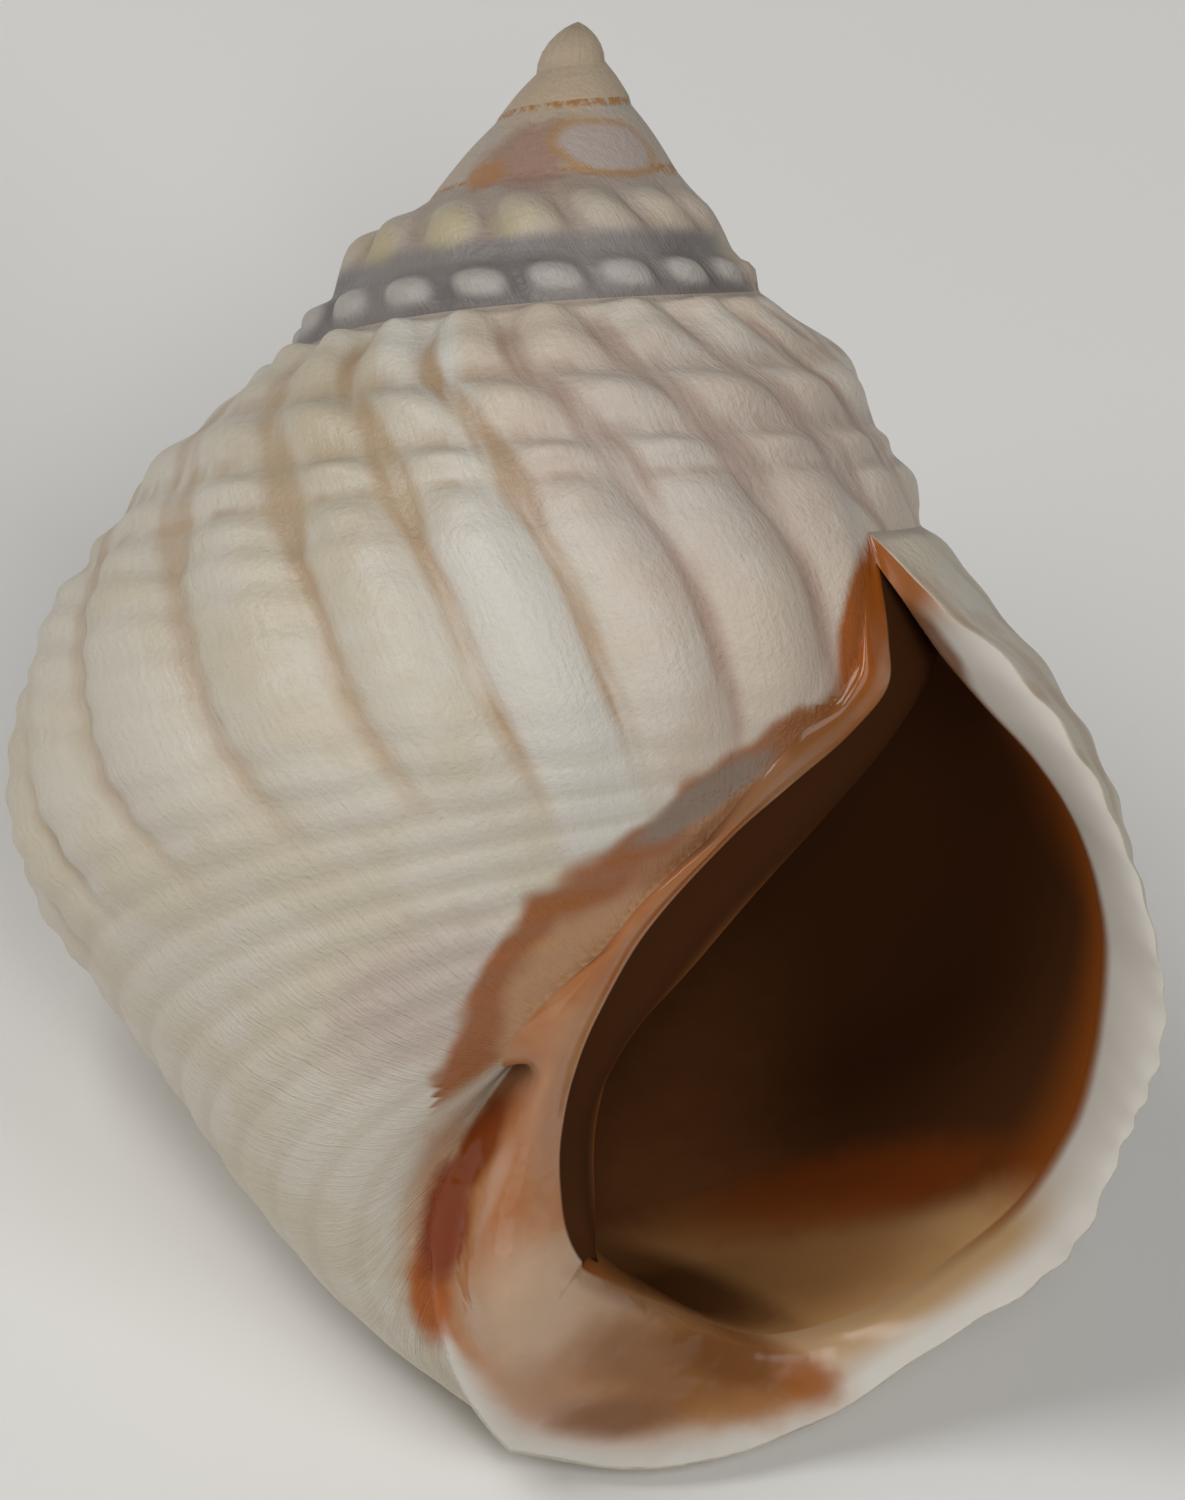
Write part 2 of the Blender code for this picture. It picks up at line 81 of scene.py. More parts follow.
# station round the mouth, inner edge of the lip, and a point half way to the rim
mouthRows = [
    (0.0, (4.02, -7.38, 3.72), (3.97, -7.19, 3.72)),
    (0.04, (4.34, -7.84, 3.5), (4.37, -7.62, 3.64)),
    (0.1, (4.6, -8.24, 3.12), (4.8, -8.08, 3.52)),
    (0.156, (4.91, -8.67, 2.74), (5.28, -8.58, 3.26)),
    (0.214, (5.46, -9.3, 2.35), (5.89, -9.25, 3.01)),
    (0.269, (6.12, -9.99, 2.12), (6.53, -10.06, 2.77)),
    (0.323, (6.6, -10.65, 1.78), (6.97, -10.86, 2.38)),
    (0.376, (6.91, -11.33, 1.37), (7.31, -11.61, 1.97)),
    (0.427, (7.09, -12.02, 0.99), (7.52, -12.39, 1.59)),
    (0.48, (7.16, -12.66, 0.57), (7.61, -13.05, 1.19)),
    (0.526, (7.13, -13.39, 0.16), (7.54, -13.76, 0.79)),
    (0.58, (7.02, -14.17, -0.3), (7.41, -14.46, 0.33)),
    (0.651, (6.74, -15.1, -0.85), (7.12, -15.3, -0.25)),
    (0.718, (6.12, -16.06, -1.37), (6.54, -16.32, -0.85)),
    (0.781, (5.34, -16.77, -1.92), (5.82, -17.06, -1.48)),
    (0.837, (4.16, -17.59, -2.19), (4.54, -17.92, -1.94)),
    (0.89, (2.7, -17.95, -1.92), (2.94, -18.7, -2.05)),
    (0.945, (1.26, -17.39, -0.55), (1.1, -18.8, -1.16)),
    (1.0, (0.37, -16.99, 0.82), (-0.38, -18.49, 0.27)),
    (1.09, (0.12, -16.7, 1.44), (-0.9, -17.84, 1.34)),
    (1.18, (-0.07, -16.36, 1.85), (-1.16, -17.22, 1.85)),
    (1.27, (-0.18, -15.99, 2.05), (-1.15, -16.54, 2.16)),
    (1.34, (-0.23, -15.58, 2.22), (-1.0, -15.85, 2.41)),
    (1.42, (-0.21, -15.07, 2.44), (-0.79, -15.17, 2.71)),
    (1.5, (-0.07, -14.35, 2.74), (-0.52, -14.41, 3.12)),
    (1.58, (0.26, -13.46, 3.29), (-0.11, -13.5, 3.72)),
    (1.63, (0.74, -12.57, 3.72), (0.53, -12.59, 4.02)),
    (1.72, (1.97, -11.13, 4.0), (1.82, -11.21, 4.27)),
    (1.79, (2.83, -10.38, 3.97), (2.66, -10.35, 4.31)),
    (1.85, (3.67, -9.66, 3.87), (3.48, -9.56, 4.18)),
    (1.89, (4.13, -9.1, 3.76), (3.92, -9.01, 4.09)),
    (1.94, (4.16, -8.39, 3.72), (3.98, -8.36, 4.0)),
    (2.0, (4.02, -7.38, 3.72), (3.97, -7.19, 3.72)),
]
# inner wall of the hollow beside the axis, as profile points at growth angle 0
pillarWall = [
    (1.0, (1.3, 13.5)), (1.09, (0.88, 12.55)), (1.18, (0.78, 11.7)), (1.27, (0.74, 10.9)),
    (1.34, (0.8, 10.35)), (1.42, (0.94, 9.9)), (1.5, (1.27, 9.4)), (1.58, (1.76, 8.9)),
    (1.63, (2.2, 8.38)), (1.72, (2.88, 7.6)), (1.79, (3.4, 6.95)), (1.85, (3.76, 6.35)),
    (1.89, (3.88, 6.0)), (1.94, (3.88, 5.65)), (2.0, (3.83, 5.35)),
]
# upper edge of the glaze that spreads from the inner lip over the base, as places in the view
glazeEdge = [
    (3.04, -9.49), (2.22, -10.03), (1.67, -10.38), (1.12, -10.99), (0.44, -11.4),
    (-0.52, -11.95), (-1.07, -12.77), (-1.41, -13.46), (-1.82, -14.35),
]
glazeEnd = {"height": 14.75, "rounding": 0.6, "front": 2.0, "far": 99.0}
# pairs give the start and the length of a rise or a fall, by the station round the mouth
mouth = {
    "wall": 0.5, "cornerWall": 0.12, "cornerEnd": 0.25, "cornerJoin": 0.07, "pillarJoin": (0.8, 0.2),
    "sweeps": [2, 4, 6, 8, 11, 14, 18, 22, 27] + list(range(32, 253, 5)),
    "settling": 60.0, "pillarSettling": 20.0, "pillarRise": (0.98, 0.12), "pillarFall": (1.88, 0.12),
    "rings": 30, "edgePasses": 24, "footRise": (0.8, 0.08), "footFall": (1.12, 0.2),
    "softening": 0.25, "footSoftening": 0.75, "softWidth": 0.1, "footWidth": 0.2,
    "chinkDepth": 0.45, "chinkRise": (1.0, 0.16), "chinkFall": (1.2, 0.26),
    "chinkRing": 0.22, "chinkWidth": 0.13,
}
# pairs give the start and the length of a rise or a fall, in degrees of growth or in length down the whorl's
# side, or the middle and width of a swelling
ornament = {
    "body": (-190.0, 70.0), "spire": (-540.0, 40.0), "nearLip": (120.0, 70.0), "lipFlatness": 0.7,
    "ribCrest": -2.0, "ribSpacing": 18.3, "ribDrift": 0.153, "ribsInDrift": 6.0,
    "sweep": 7.0, "sweepFall": (1.0, 3.0),
    "ribHeight": 0.36, "ribLevel": 0.55, "ribSharpness": 0.45, "ribRise": (3.9, 0.8), "ribFall": (7.6, 2.8),
    "fingertip": (4.0, 1.2), "tipSharpness": 0.35, "lowKnobs": (3.2, 0.7), "lowSharpness": 0.25,
    "knobHeight": 0.24, "knobLevel": 0.3, "knobRise": (0.0, 0.5), "knobFall": (3.7, 0.6),
    "flatKnobs": (-38.0, 25.0), "knobFlatness": 0.6, "edgeBulge": 0.22, "edgeSwelling": (0.4, 0.32),
    "topRows": [0.0, 1.05, 1.85, 2.6, 3.3, 3.75, 4.2], "cordSpacing": 0.68, "cordHeight": 0.06,
    "cordRise": (0.8, 1.0), "smoothBase": (12.5, 1.5), "baseFlatness": 0.75,
    "plainSide": (6.4, 2.6), "plainEnd": (-55.0, 30.0), "plainness": 0.85,
    "lipCords": 0.5, "lipCordsEnd": (7.0, 2.0),
    "upperKnob": -402.0, "upperSpacing": 25.0, "upper": (2.15, 0.85), "upperHeight": 0.5, "upperLevel": 0.35,
    "lowerKnob": -368.0, "lowerSpacing": 19.4, "lower": (4.65, 0.55), "lowerHeight": 0.4, "lowerLevel": 0.2,
    "paintSharpness": 0.7, "paintWidth": 0.9, "knobSharpness": 0.6,
    "groove": (3.75, 0.45), "grooveDepth": 0.13, "sutureRise": (0.0, 0.3), "coveredEdge": 0.35,
    "freeEdgeEnd": 36.0, "freeEdgeRelief": 0.15, "freeEdgeWidth": 1.2,
    "flatAngle": 125.0, "flatLength": 9.1, "flatTurn": 15.0, "flatHeight": 1.5, "growthOfRelief": 0.9,
}


def smoothStep(x):
    x = np.clip(x, 0.0, 1.0)
    return x * x * (3.0 - 2.0 * x)


def ramp(x, start, over):
    return smoothStep((x - start) / over)


def curveThrough(knots, values, x):
    # a smooth curve through the given points
    knots = np.asarray(knots, float)
    values = np.asarray(values, float)
    x = np.asarray(x, float)
    slope = np.gradient(values, knots, axis=0)
    i = np.clip(np.searchsorted(knots, x, side="right") - 1, 0, len(knots) - 2)
    width = knots[i + 1] - knots[i]
    f = (x - knots[i]) / width
    if values.ndim > 1:
        f = f[..., None]
        width = width[..., None]
    start = (2 * f**3 - 3 * f**2 + 1) * values[i] + (f**3 - 2 * f**2 + f) * width * slope[i]
    end = (3 * f**2 - 2 * f**3) * values[i + 1] + (f**3 - f**2) * width * slope[i + 1]
    return start + end


profileSteps = np.hypot(*np.diff(np.array(youngProfile), axis=0).T)
lengths = np.concatenate([[0.0], np.cumsum(profileSteps)])
profileLength = lengths[-1]
straightSide = curveThrough(lengths, youngProfile, coil["sutureLength"]) - np.array(youngProfile[0])
turnedPose = np.array(Euler((math.radians(-coil["lean"]), 0, math.radians(-coil["tilt"]))).to_matrix())


def growth(angle):
    return coil["whorlGrowth"] ** (np.asarray(angle, float) / 360.0)


def aroundAxis(azimuth, radius, depth):
    turn = np.radians(azimuth)
    points = np.stack([-radius * np.cos(turn), -depth, -radius * np.sin(turn)], axis=-1)
    return points @ turnedPose.T


def lineLag(length):
    # how far a growth line trails its own start on the suture
    return curveThrough(lengths, lineLags, length)


def section(azimuth, length):
    reach = coil["lipAngle"] - lineLag(length) - coil["lipShapeStart"]
    toLip = np.clip((azimuth - coil["lipShapeStart"]) / reach, 0.0, 1.0) ** coil["lipShapeRise"]
    young = curveThrough(lengths, youngProfile, length)
    lip = curveThrough(lengths, lipProfile, length)
    profile = young + (lip - young) * toLip[..., None]
    chord = np.array(youngProfile[0]) + straightSide * np.clip(length / coil["sutureLength"], 0, 1)[..., None]
    worn = coil["flattened"] * smoothStep((coil["wornBefore"] - azimuth) / coil["wornOver"])
    return profile + (chord - profile) * worn[..., None]


def smoothWall(angle, length):
    angle, length = np.broadcast_arrays(np.asarray(angle, float), np.asarray(length, float))
    azimuth = angle - lineLag(length)
    profile = section(azimuth, length)
    size = growth(azimuth)
    worn = coil["tipWear"] * (1.0 - smoothStep(size / coil["wornSize"]))
    return aroundAxis(azimuth, profile[..., 0] * size, profile[..., 1] * size - worn)


def wallNormal(angle, length):
    along = smoothWall(angle + 0.5, length) - smoothWall(angle - 0.5, length)
    down = smoothWall(angle, length + 0.02) - smoothWall(angle, length - 0.02)
    normal = np.cross(along, down)
    return normal / np.linalg.norm(normal, axis=-1, keepdims=True)


def swelling(x, centre, width):
    return np.exp(-((x - centre) / width) ** 2)


def wave(phase, sharpness):
    return (0.5 + 0.5 * np.cos(2 * np.pi * phase)) ** sharpness


def ribPhase(angle, length):
    # whole numbers on the crests; the ribs sweep back near the suture
    o = ornament
    sweep = o["sweep"] * (1.0 - ramp(length, *o["sweepFall"]))
    turns = (o["ribCrest"] - angle + sweep) / o["ribSpacing"]
    return turns - o["ribDrift"] * np.sin(2 * np.pi * turns / o["ribsInDrift"])


def ribWave(angle, length):
    # broad ribs with narrow grooves, round at their upper ends
    o = ornament
    fingertip = 1.0 - ramp(length, *o["fingertip"])
    sharper = o["tipSharpness"] + o["lowSharpness"] * ramp(length, *o["lowKnobs"])
    return wave(ribPhase(angle, length), o["ribSharpness"] + sharper * fingertip)


def cordPhase(length):
    rows = np.interp(length, ornament["topRows"], np.arange(len(ornament["topRows"])) / 2.0)
    return rows - 0.5 + np.maximum(length - ornament["topRows"][-1], 0.0) / ornament["cordSpacing"]


def innerLipLength(angle):
    return np.interp(angle, [a for a, _ in innerLipLine], [b for _, b in innerLipLine])


def innerLipAngle(length):
    return np.interp(length, [b for _, b in innerLipLine], [a for a, _ in innerLipLine])


def ribsAndCords(angle, length):
    # for the colours: 1 on the crest of a rib, knob or cord, 0 in the groove
    o = ornament
    body = ramp(angle, *o["body"])
    upper = wave((angle - o["upperKnob"]) / o["upperSpacing"], o["paintSharpness"])
    upper = upper * swelling(length, o["upper"][0], o["paintWidth"])
    lower = wave((angle - o["lowerKnob"]) / o["lowerSpacing"], o["knobSharpness"])
    knobs = np.clip(upper + lower * swelling(length, *o["lower"]), 0.0, 1.0)
    return body * ribWave(angle, length) + (1.0 - body) * knobs, wave(cordPhase(length), 1.0)


def bodyRelief(angle, length):
    o = ornament
    ribs = ribWave(angle, length)
    cords = wave(cordPhase(length), 1.0)
    ribZone = ramp(length, *o["ribRise"]) * (1.0 - ramp(length, *o["ribFall"]))
    knobZone = ramp(length, *o["knobRise"]) * (1.0 - ramp(length, *o["knobFall"]))
    knobZone = knobZone * (1.0 - o["knobFlatness"] * ramp(angle, *o["flatKnobs"]))
    ribbed = o["ribHeight"] * ribZone * (ribs - o["ribLevel"])
    ribbed = ribbed + o["knobHeight"] * knobZone * (ribs * cords - o["knobLevel"])
    overhang = o["edgeBulge"] * swelling(length, *o["edgeSwelling"]) * ribs
    byLip = ramp(angle, *o["nearLip"])
    plain = 1.0 - o["plainness"] * swelling(length, *o["plainSide"]) * (1.0 - ramp(angle, *o["plainEnd"]))
    corded = o["cordHeight"] * ramp(length, *o["cordRise"]) * plain * (cords - 0.5)
    corded = corded * (1.0 - o["baseFlatness"] * ramp(length, *o["smoothBase"]))
    corded = corded * (1.0 - o["lipCords"] * byLip * (1.0 - ramp(length, *o["lipCordsEnd"])))
    return (ribbed + overhang) * (1.0 - o["lipFlatness"] * byLip) + corded


def spireRelief(angle, length):
    o = ornament
    upper = wave((angle - o["upperKnob"]) / o["upperSpacing"], o["knobSharpness"]) - o["upperLevel"]
    lower = wave((angle - o["lowerKnob"]) / o["lowerSpacing"], o["knobSharpness"]) - o["lowerLevel"]
    knobs = o["upperHeight"] * swelling(length, *o["upper"]) * upper
    knobs = knobs + o["lowerHeight"] * swelling(length, *o["lower"]) * lower
    return knobs - o["grooveDepth"] * swelling(length, *o["groove"])


def relief(angle, length):
    # ribs, knobs and cords above the smooth wall, for size 1; none at the suture, and less by the inner lip
    o = ornament
    body = ramp(angle, *o["body"])
    spire = ramp(angle, *o["spire"]) * (1.0 - body)
    bodyWhorlStart = coil["lipAngle"] - coil["sutureShift"]
    aboveNext = smoothStep((coil["sutureLength"] - length) / o["coveredEdge"])
    covered = np.where(angle < bodyWhorlStart, aboveNext, 1.0)
    fromLip = smoothStep((innerLipLength(angle) - length) / o["freeEdgeWidth"])
    freeEdge = o["freeEdgeRelief"] + (1.0 - o["freeEdgeRelief"]) * fromLip
    freeEdge = np.where(angle < o["freeEdgeEnd"], freeEdge, 1.0)
    turned = ((angle - o["flatAngle"]) / o["flatTurn"]) ** 4
    unworn = 1.0 - np.exp(-turned - ((length - o["flatLength"]) / o["flatHeight"]) ** 4)
    whole = bodyRelief(angle, length) * body * freeEdge + spireRelief(angle, length) * spire
    return whole * ramp(length, *o["sutureRise"]) * covered * unworn


def wall(angle, length):
    angle, length = np.broadcast_arrays(np.asarray(angle, float), np.asarray(length, float))
    size = growth(angle - lineLag(length))
    height = relief(angle, length) * size ** ornament["growthOfRelief"]
    return smoothWall(angle, length) + wallNormal(angle, length) * height[..., None]


def hollowRing(stations, edge, sweep):
    # the hollow's wall, swept back from the inner edge of the lip
    own = edge @ turnedPose
    azimuth = np.degrees(np.arctan2(-own[:, 2], -own[:, 0])) % 360.0
    size = growth(azimuth)
    atMouth = np.stack([np.hypot(own[:, 0], own[:, 2]), -own[:, 1]], axis=1) / size[:, None]
    azimuth = azimuth - sweep
    pillar = curveThrough([s for s, _ in pillarWall], [p for _, p in pillarWall], np.clip(stations, 1.0, 2.0))
    length = np.clip(stations, 0.0, 1.0) * profileLength
    here = section(azimuth, length)
    before = section(azimuth, length - 0.05)
    slope = (here - before) / np.linalg.norm(here - before, axis=1, keepdims=True)
    opened = smoothStep(stations / mouth["cornerEnd"])[:, None]
    thickness = mouth["cornerWall"] + (mouth["wall"] - mouth["cornerWall"]) * opened
    outer = here + thickness * np.stack([-slope[:, 1], slope[:, 0]], axis=1)
    atCorner = 1.0 - smoothStep(stations / mouth["cornerJoin"])
    outer += (np.array(pillarWall[-1][1]) - outer) * atCorner[:, None]
    outer += (np.array(pillarWall[0][1]) - outer) * ramp(stations, *mouth["pillarJoin"])[:, None]
    inner = np.where(stations[:, None] <= 1.0, outer, pillar)
    pillarSide = ramp(stations, *mouth["pillarRise"]) * (1.0 - ramp(stations, *mouth["pillarFall"]))
    settling = mouth["settling"] + (mouth["pillarSettling"] - mouth["settling"]) * pillarSide
    profile = atMouth + (inner - atMouth) * smoothStep(sweep / settling)[:, None]
    size = growth(azimuth)
    return aroundAxis(azimuth, profile[:, 0] * size, profile[:, 1] * size)


class Skin:
    # collects points with their markings, and the faces between them; welded says which points are one
    def __init__(self):
        self.points = []
        self.marks = []
        self.welded = []
        self.faces = []
        self.finishes = []
        self.finish = 0     # of the faces added next: 0 outside, 1 lip, 2 hollow

    def add(self, points, marks, weldTo=None):
        first = len(self.welded)
        new = list(range(first, first + len(points)))
        self.points.extend(points)
        self.marks.extend(marks)
        self.welded.extend(new if weldTo is None else [n if w is None else w for n, w in zip(new, weldTo)])
        return new

    def face(self, *corners):
        if len({self.welded[c] for c in corners}) == len(corners):
            self.faces.append(corners)
            self.finishes.append(self.finish)

    def join(self, first, second, placesA, placesB):
        # fills between two lines of points, taking the next one in order of place
        i = j = 0
        while i < len(first) - 1 or j < len(second) - 1:
            ahead = i < len(first) - 1 and (j == len(second) - 1 or placesA[i + 1] <= placesB[j + 1] + 1e-9)
            if ahead and j < len(second) - 1 and abs(placesA[i + 1] - placesB[j + 1]) < 1e-9:
                self.face(first[i], first[i + 1], second[j + 1])
                self.face(first[i], second[j + 1], second[j])
                i += 1
                j += 1
            elif ahead:
                self.face(first[i], first[i + 1], second[j])
                i += 1
            else:
                self.face(first[i], second[j + 1], second[j])
                j += 1


def marksFor(angles, downs, across=0.0, stations=0.0):
    # what the finish reads at each point: where it lies on the shell, and how far up a rib or cord
    downs = np.asarray(downs, float)
    angles = np.broadcast_to(np.asarray(angles, float), downs.shape)
    ribs, cords = ribsAndCords(angles, downs)
    rows = [angles, downs, ribs, cords, across, stations]
    return np.stack([np.broadcast_to(np.asarray(row, float), downs.shape) for row in rows], axis=1)


def buildShell():
    skin = Skin()
    step = coil["columnStep"]
    count = int(round(coil["turned"] / step))
    shift = int(round(coil["sutureShift"] / step))
    angles = coil["lipAngle"] + step * (np.arange(count + 1) - count)
    columns = []
    for i, angle in enumerate(angles):
        rows = rowsOfMesh["recent"] if angle > rowsOfMesh["oldBefore"] else rowsOfMesh["old"]
        downs = np.linspace(0.0, coil["sutureLength"], rows + 1)
        points = wall(angle, downs)
        weld = [None] * len(downs)
        if i >= shift:
            weld[0] = columns[i - shift][0][-1]
            points[0] = skin.points[weld[0]]
        new = skin.add(points, marksFor(angle, downs), weld)
        columns.append((new, downs))
    for a, b in zip(columns, columns[1:]):
        skin.join(a[0], b[0], a[1], b[1])
    closeTip(skin, columns, shift)
    rim = buildBase(skin, angles, columns, count - shift)
    buildMouth(skin, rim)
    return skin


def closeTip(skin, columns, shift):
    # the worn tip is a small dome over the open end of the first whorl
    loop = [columns[i][0][0] for i in range(shift)] + columns[0][0][:0:-1]
    points = np.array([skin.points[c] for c in loop])
    marks = [skin.marks[c] for c in loop]
    previous = loop
    places = list(range(len(loop))) + [len(loop)]
    for climb in tip["rings"]:
        turn = math.radians(climb)
        ring = points * [math.cos(turn) ** 1.5, 1.0, math.cos(turn) ** 1.5]
        ring[:, 1] += (tip["height"] - points[:, 1]) * math.sin(turn)
        ring = skin.add(ring, marks)
        skin.join(previous + previous[:1], ring + ring[:1], places, places)
        previous = ring
    peak = skin.add([(0.0, tip["height"], 0.0)], [marks[0]])[0]
    for a in range(len(loop)):
        skin.face(previous[a], previous[(a + 1) % len(loop)], peak)


def buildBase(skin, angles, columns, first):
    # the body whorl below its suture line, down to the inner lip
    top = coil["sutureLength"]
    downs = np.linspace(top, profileLength, rowsOfMesh["base"] + 1)
    above = [column[0][-1] for column in columns[first:]]
    abovePlaces = list(angles[first:])
    lipEdge = []
    innerEdge = []
    for down in downs[1:]:
        start = float(innerLipAngle(down))
        row = np.array([start] + [a for a in angles if a > start + 0.3])
        line = skin.add(wall(row, down), marksFor(row, np.full(len(row), down)))
        skin.join(line, above, list(row), abovePlaces)
        lipEdge.append((down / profileLength, line[-1]))
        innerEdge.append((2.0 - 0.5 * (down - top) / (profileLength - top), line[0]))
        above, abovePlaces = line, list(row)
    start = abovePlaces[0]
    bottom = [(1.5 - 0.5 * (a - start) / (coil["lipAngle"] - start), c)
              for a, c in zip(abovePlaces[1:-1], above[1:-1])]
    rim = [(down / profileLength, c) for down, c in zip(columns[-1][1], columns[-1][0])]
    return rim + lipEdge + bottom[::-1] + innerEdge[::-1]


def roundEdge(rings, depths, places):
    # softens the inner edge of the lip, most of all where the pillar runs out onto the floor of the mouth
    foot = ramp(places, *mouth["footRise"]) * (1.0 - ramp(places, *mouth["footFall"]))
    amount = mouth["softening"] + mouth["footSoftening"] * foot
    width = mouth["softWidth"] + mouth["footWidth"] * foot
    for _ in range(mouth["edgePasses"]):
        middle = (rings[:-2] + rings[2:]) / 2.0 - rings[1:-1]
        away = np.abs(depths[1:-1, None] - 1.0) / width[None, :]
        share = 0.5 * amount[None, :] * (1.0 - smoothStep(away))
        rings[1:-1] += middle * share[..., None]
    return rings


def buildMouth(skin, rim):
    places = np.array([s for s, _ in rim])
    outer = np.array([skin.points[c] for _, c in rim])
    edge = curveThrough([r[0] for r in mouthRows], [r[1] for r in mouthRows], places)
    middle = curveThrough([r[0] for r in mouthRows], [r[2] for r in mouthRows], places)
    chink = ramp(places, *mouth["chinkRise"]) * (1.0 - ramp(places, *mouth["chinkFall"]))
    rings = [outer]
    depths = [0.0]
    for f in np.linspace(0.0, 1.0, mouth["rings"] + 1)[1:]:
        ring = outer * (1 - f) * (1 - 2 * f) + middle * 4 * f * (1 - f) + edge * f * (2 * f - 1)
        ring[:, 2] -= mouth["chinkDepth"] * chink * swelling(f, mouth["chinkRing"], mouth["chinkWidth"])
        rings.append(ring)
        depths.append(f)
    for sweep in mouth["sweeps"]:
        rings.append(hollowRing(places, edge, sweep))
        depths.append(1.0 + sweep * 0.01)
    rings = roundEdge(np.array(rings), np.array(depths), places)
    around = list(places) + [2.001]
    angles, downs = np.array([skin.marks[c][:2] for _, c in rim]).T
    previous = skin.add(outer, marksFor(angles, downs, 0.0, places), [skin.welded[c] for _, c in rim])
    for ring, depth in zip(rings[1:], depths[1:]):
        skin.finish = 2 if depth > 1.0 else 1
        line = skin.add(ring, marksFor(angles, downs, depth, places))
        skin.join(previous + previous[:1], line + line[:1], around, around)
        previous = line
    ends = np.array([skin.points[c] for c in previous])
    centre = skin.add([ends.mean(axis=0)], [skin.marks[previous[0]]])[0]
    for a in range(len(previous)):
        skin.face(previous[a], previous[(a + 1) % len(previous)], centre)


restTurn = (Matrix.Rotation(math.radians(rest["pitch"]), 3, "X")
            @ Matrix.Rotation(math.radians(rest["roll"]), 3, "Y"))


def layDown(points):
    # from the view of the mouth to the floor, in metres
    points = points @ np.array(restTurn).T
    points[:, 2] = np.maximum(points[:, 2], rest["ground"]) - rest["ground"]
    points[:, :2] -= rest["centre"]
    return points * 0.001


def beyondGlazeEdge(points):
    # how far each point lies on the mouth's side of the glaze edge, in the view
    nearest = np.full(len(points), glazeEnd["far"])
    for (x, y), (nextX, nextY) in zip(glazeEdge, glazeEdge[1:]):
        step = np.array([nextX - x, nextY - y])
        offset = points[:, :2] - (x, y)
        along = np.clip(offset @ step / (step @ step), 0.0, 1.0)
        away = offset - along[:, None] * step
        side = np.sign(step[0] * away[:, 1] - step[1] * away[:, 0])
        distance = np.hypot(*away.T) * side
        nearest = np.where(np.abs(distance) < np.abs(nearest), distance, nearest)
    # rounded off where the glaze ends at the chink
    fromEnd = points[:, 1] + glazeEnd["height"]
    share = np.clip(0.5 + 0.5 * (fromEnd - nearest) / glazeEnd["rounding"], 0.0, 1.0)
    nearest = fromEnd + (nearest - fromEnd) * share - glazeEnd["rounding"] * share * (1.0 - share)
    return np.where(points[:, 2] > glazeEnd["front"], nearest, -9.0)


def makeMesh(skin):
    welded = np.array(skin.welded)
    while (welded != welded[welded]).any():
        welded = welded[welded]
    kept, number = np.unique(welded, return_inverse=True)
    points = layDown(np.array(skin.points)[kept])
    corners = [c for face in skin.faces for c in face[::-1]]
    mesh = bpy.data.meshes.new("shellSurface")
    mesh.from_pydata(points.tolist(), [], [[number[c] for c in face[::-1]] for face in skin.faces])
    marks = np.array(skin.marks)[corners]
    for k, name in enumerate(["growthAngle", "wayDown", "ribs", "cords", "lipAcross", "station"]):
        mesh.attributes.new(name, "FLOAT", "CORNER").data.foreach_set("value", marks[:, k].astype(np.float32))
    glazed = beyondGlazeEdge(np.array(skin.points)[kept])
    mesh.attributes.new("glazed", "FLOAT", "POINT").data.foreach_set("value", glazed.astype(np.float32))
    mesh.polygons.foreach_set("material_index", np.array(skin.finishes, dtype=np.int32))
    mesh.shade_smooth()
    return mesh


skin = buildShell()
mesh = makeMesh(skin)
shell = bpy.data.objects.new("periwinkleShell", mesh)
bpy.context.scene.collection.objects.link(shell)
print("shell made:", len(mesh.vertices), "points,", len(skin.faces), "triangles")

paint = {
    "cream": (0.61, 0.54, 0.42), "white": (0.68, 0.64, 0.57), "blush": (0.62, 0.52, 0.42),
    "tanGroove": (0.46, 0.32, 0.2), "pinkGroove": (0.42, 0.3, 0.235), "cordGroove": (0.52, 0.45, 0.34),
    "sutureShade": (0.36, 0.29, 0.24), "blueGrey": (0.19, 0.168, 0.16), "bead": (0.45, 0.415, 0.38),
    "knobTop": (0.52, 0.44, 0.34), "knobValley": (0.4, 0.31, 0.25), "youngCream": (0.5, 0.4, 0.3),
    "tipCream": (0.52, 0.41, 0.29), "sutureLine": (0.4, 0.2, 0.075),
    "lipWhite": (0.68, 0.64, 0.57), "lipTan": (0.52, 0.33, 0.16), "lipEdge": (0.3, 0.085, 0.012),
    "glaze": (0.4, 0.148, 0.052), "glazePale": (0.47, 0.25, 0.125), "glazeStreak": (0.31, 0.105, 0.03),
    "dark": (0.09, 0.033, 0.012), "edgeInside": (0.28, 0.075, 0.012), "pillarShade": (0.06, 0.022, 0.008),
    "floorTan": (0.46, 0.24, 0.09), "spoon": (0.46, 0.28, 0.165),
}
gloss = {"outside": 0.44, "lip": 0.26, "glaze": 0.13, "hollow": 0.4, "specular": 0.35, "grainy": 0.25}
fineRelief = {
    "depth": 0.00006, "lines": (0.25, 0.5), "grain": 0.45, "wrinkle": 1.6,
    "shade": (0.1, 0.22), "waver": 0.7, "waverShift": 0.16,
}
# scale, detail and roughness of each noise, per millimetre or along and across the growth lines
noises = {
    "cloud": (0.55, 3.0), "ragged": (2.2, 4.0), "waver": (0.9, 1.5), "wrinkle": (1.5, 2.0, 0.45),
    "Grain": (9.0, 2.5, 0.6), "Fine": (1.3, 0.9, 2.5), "Broad": (0.22, 0.35, 2.0),
}
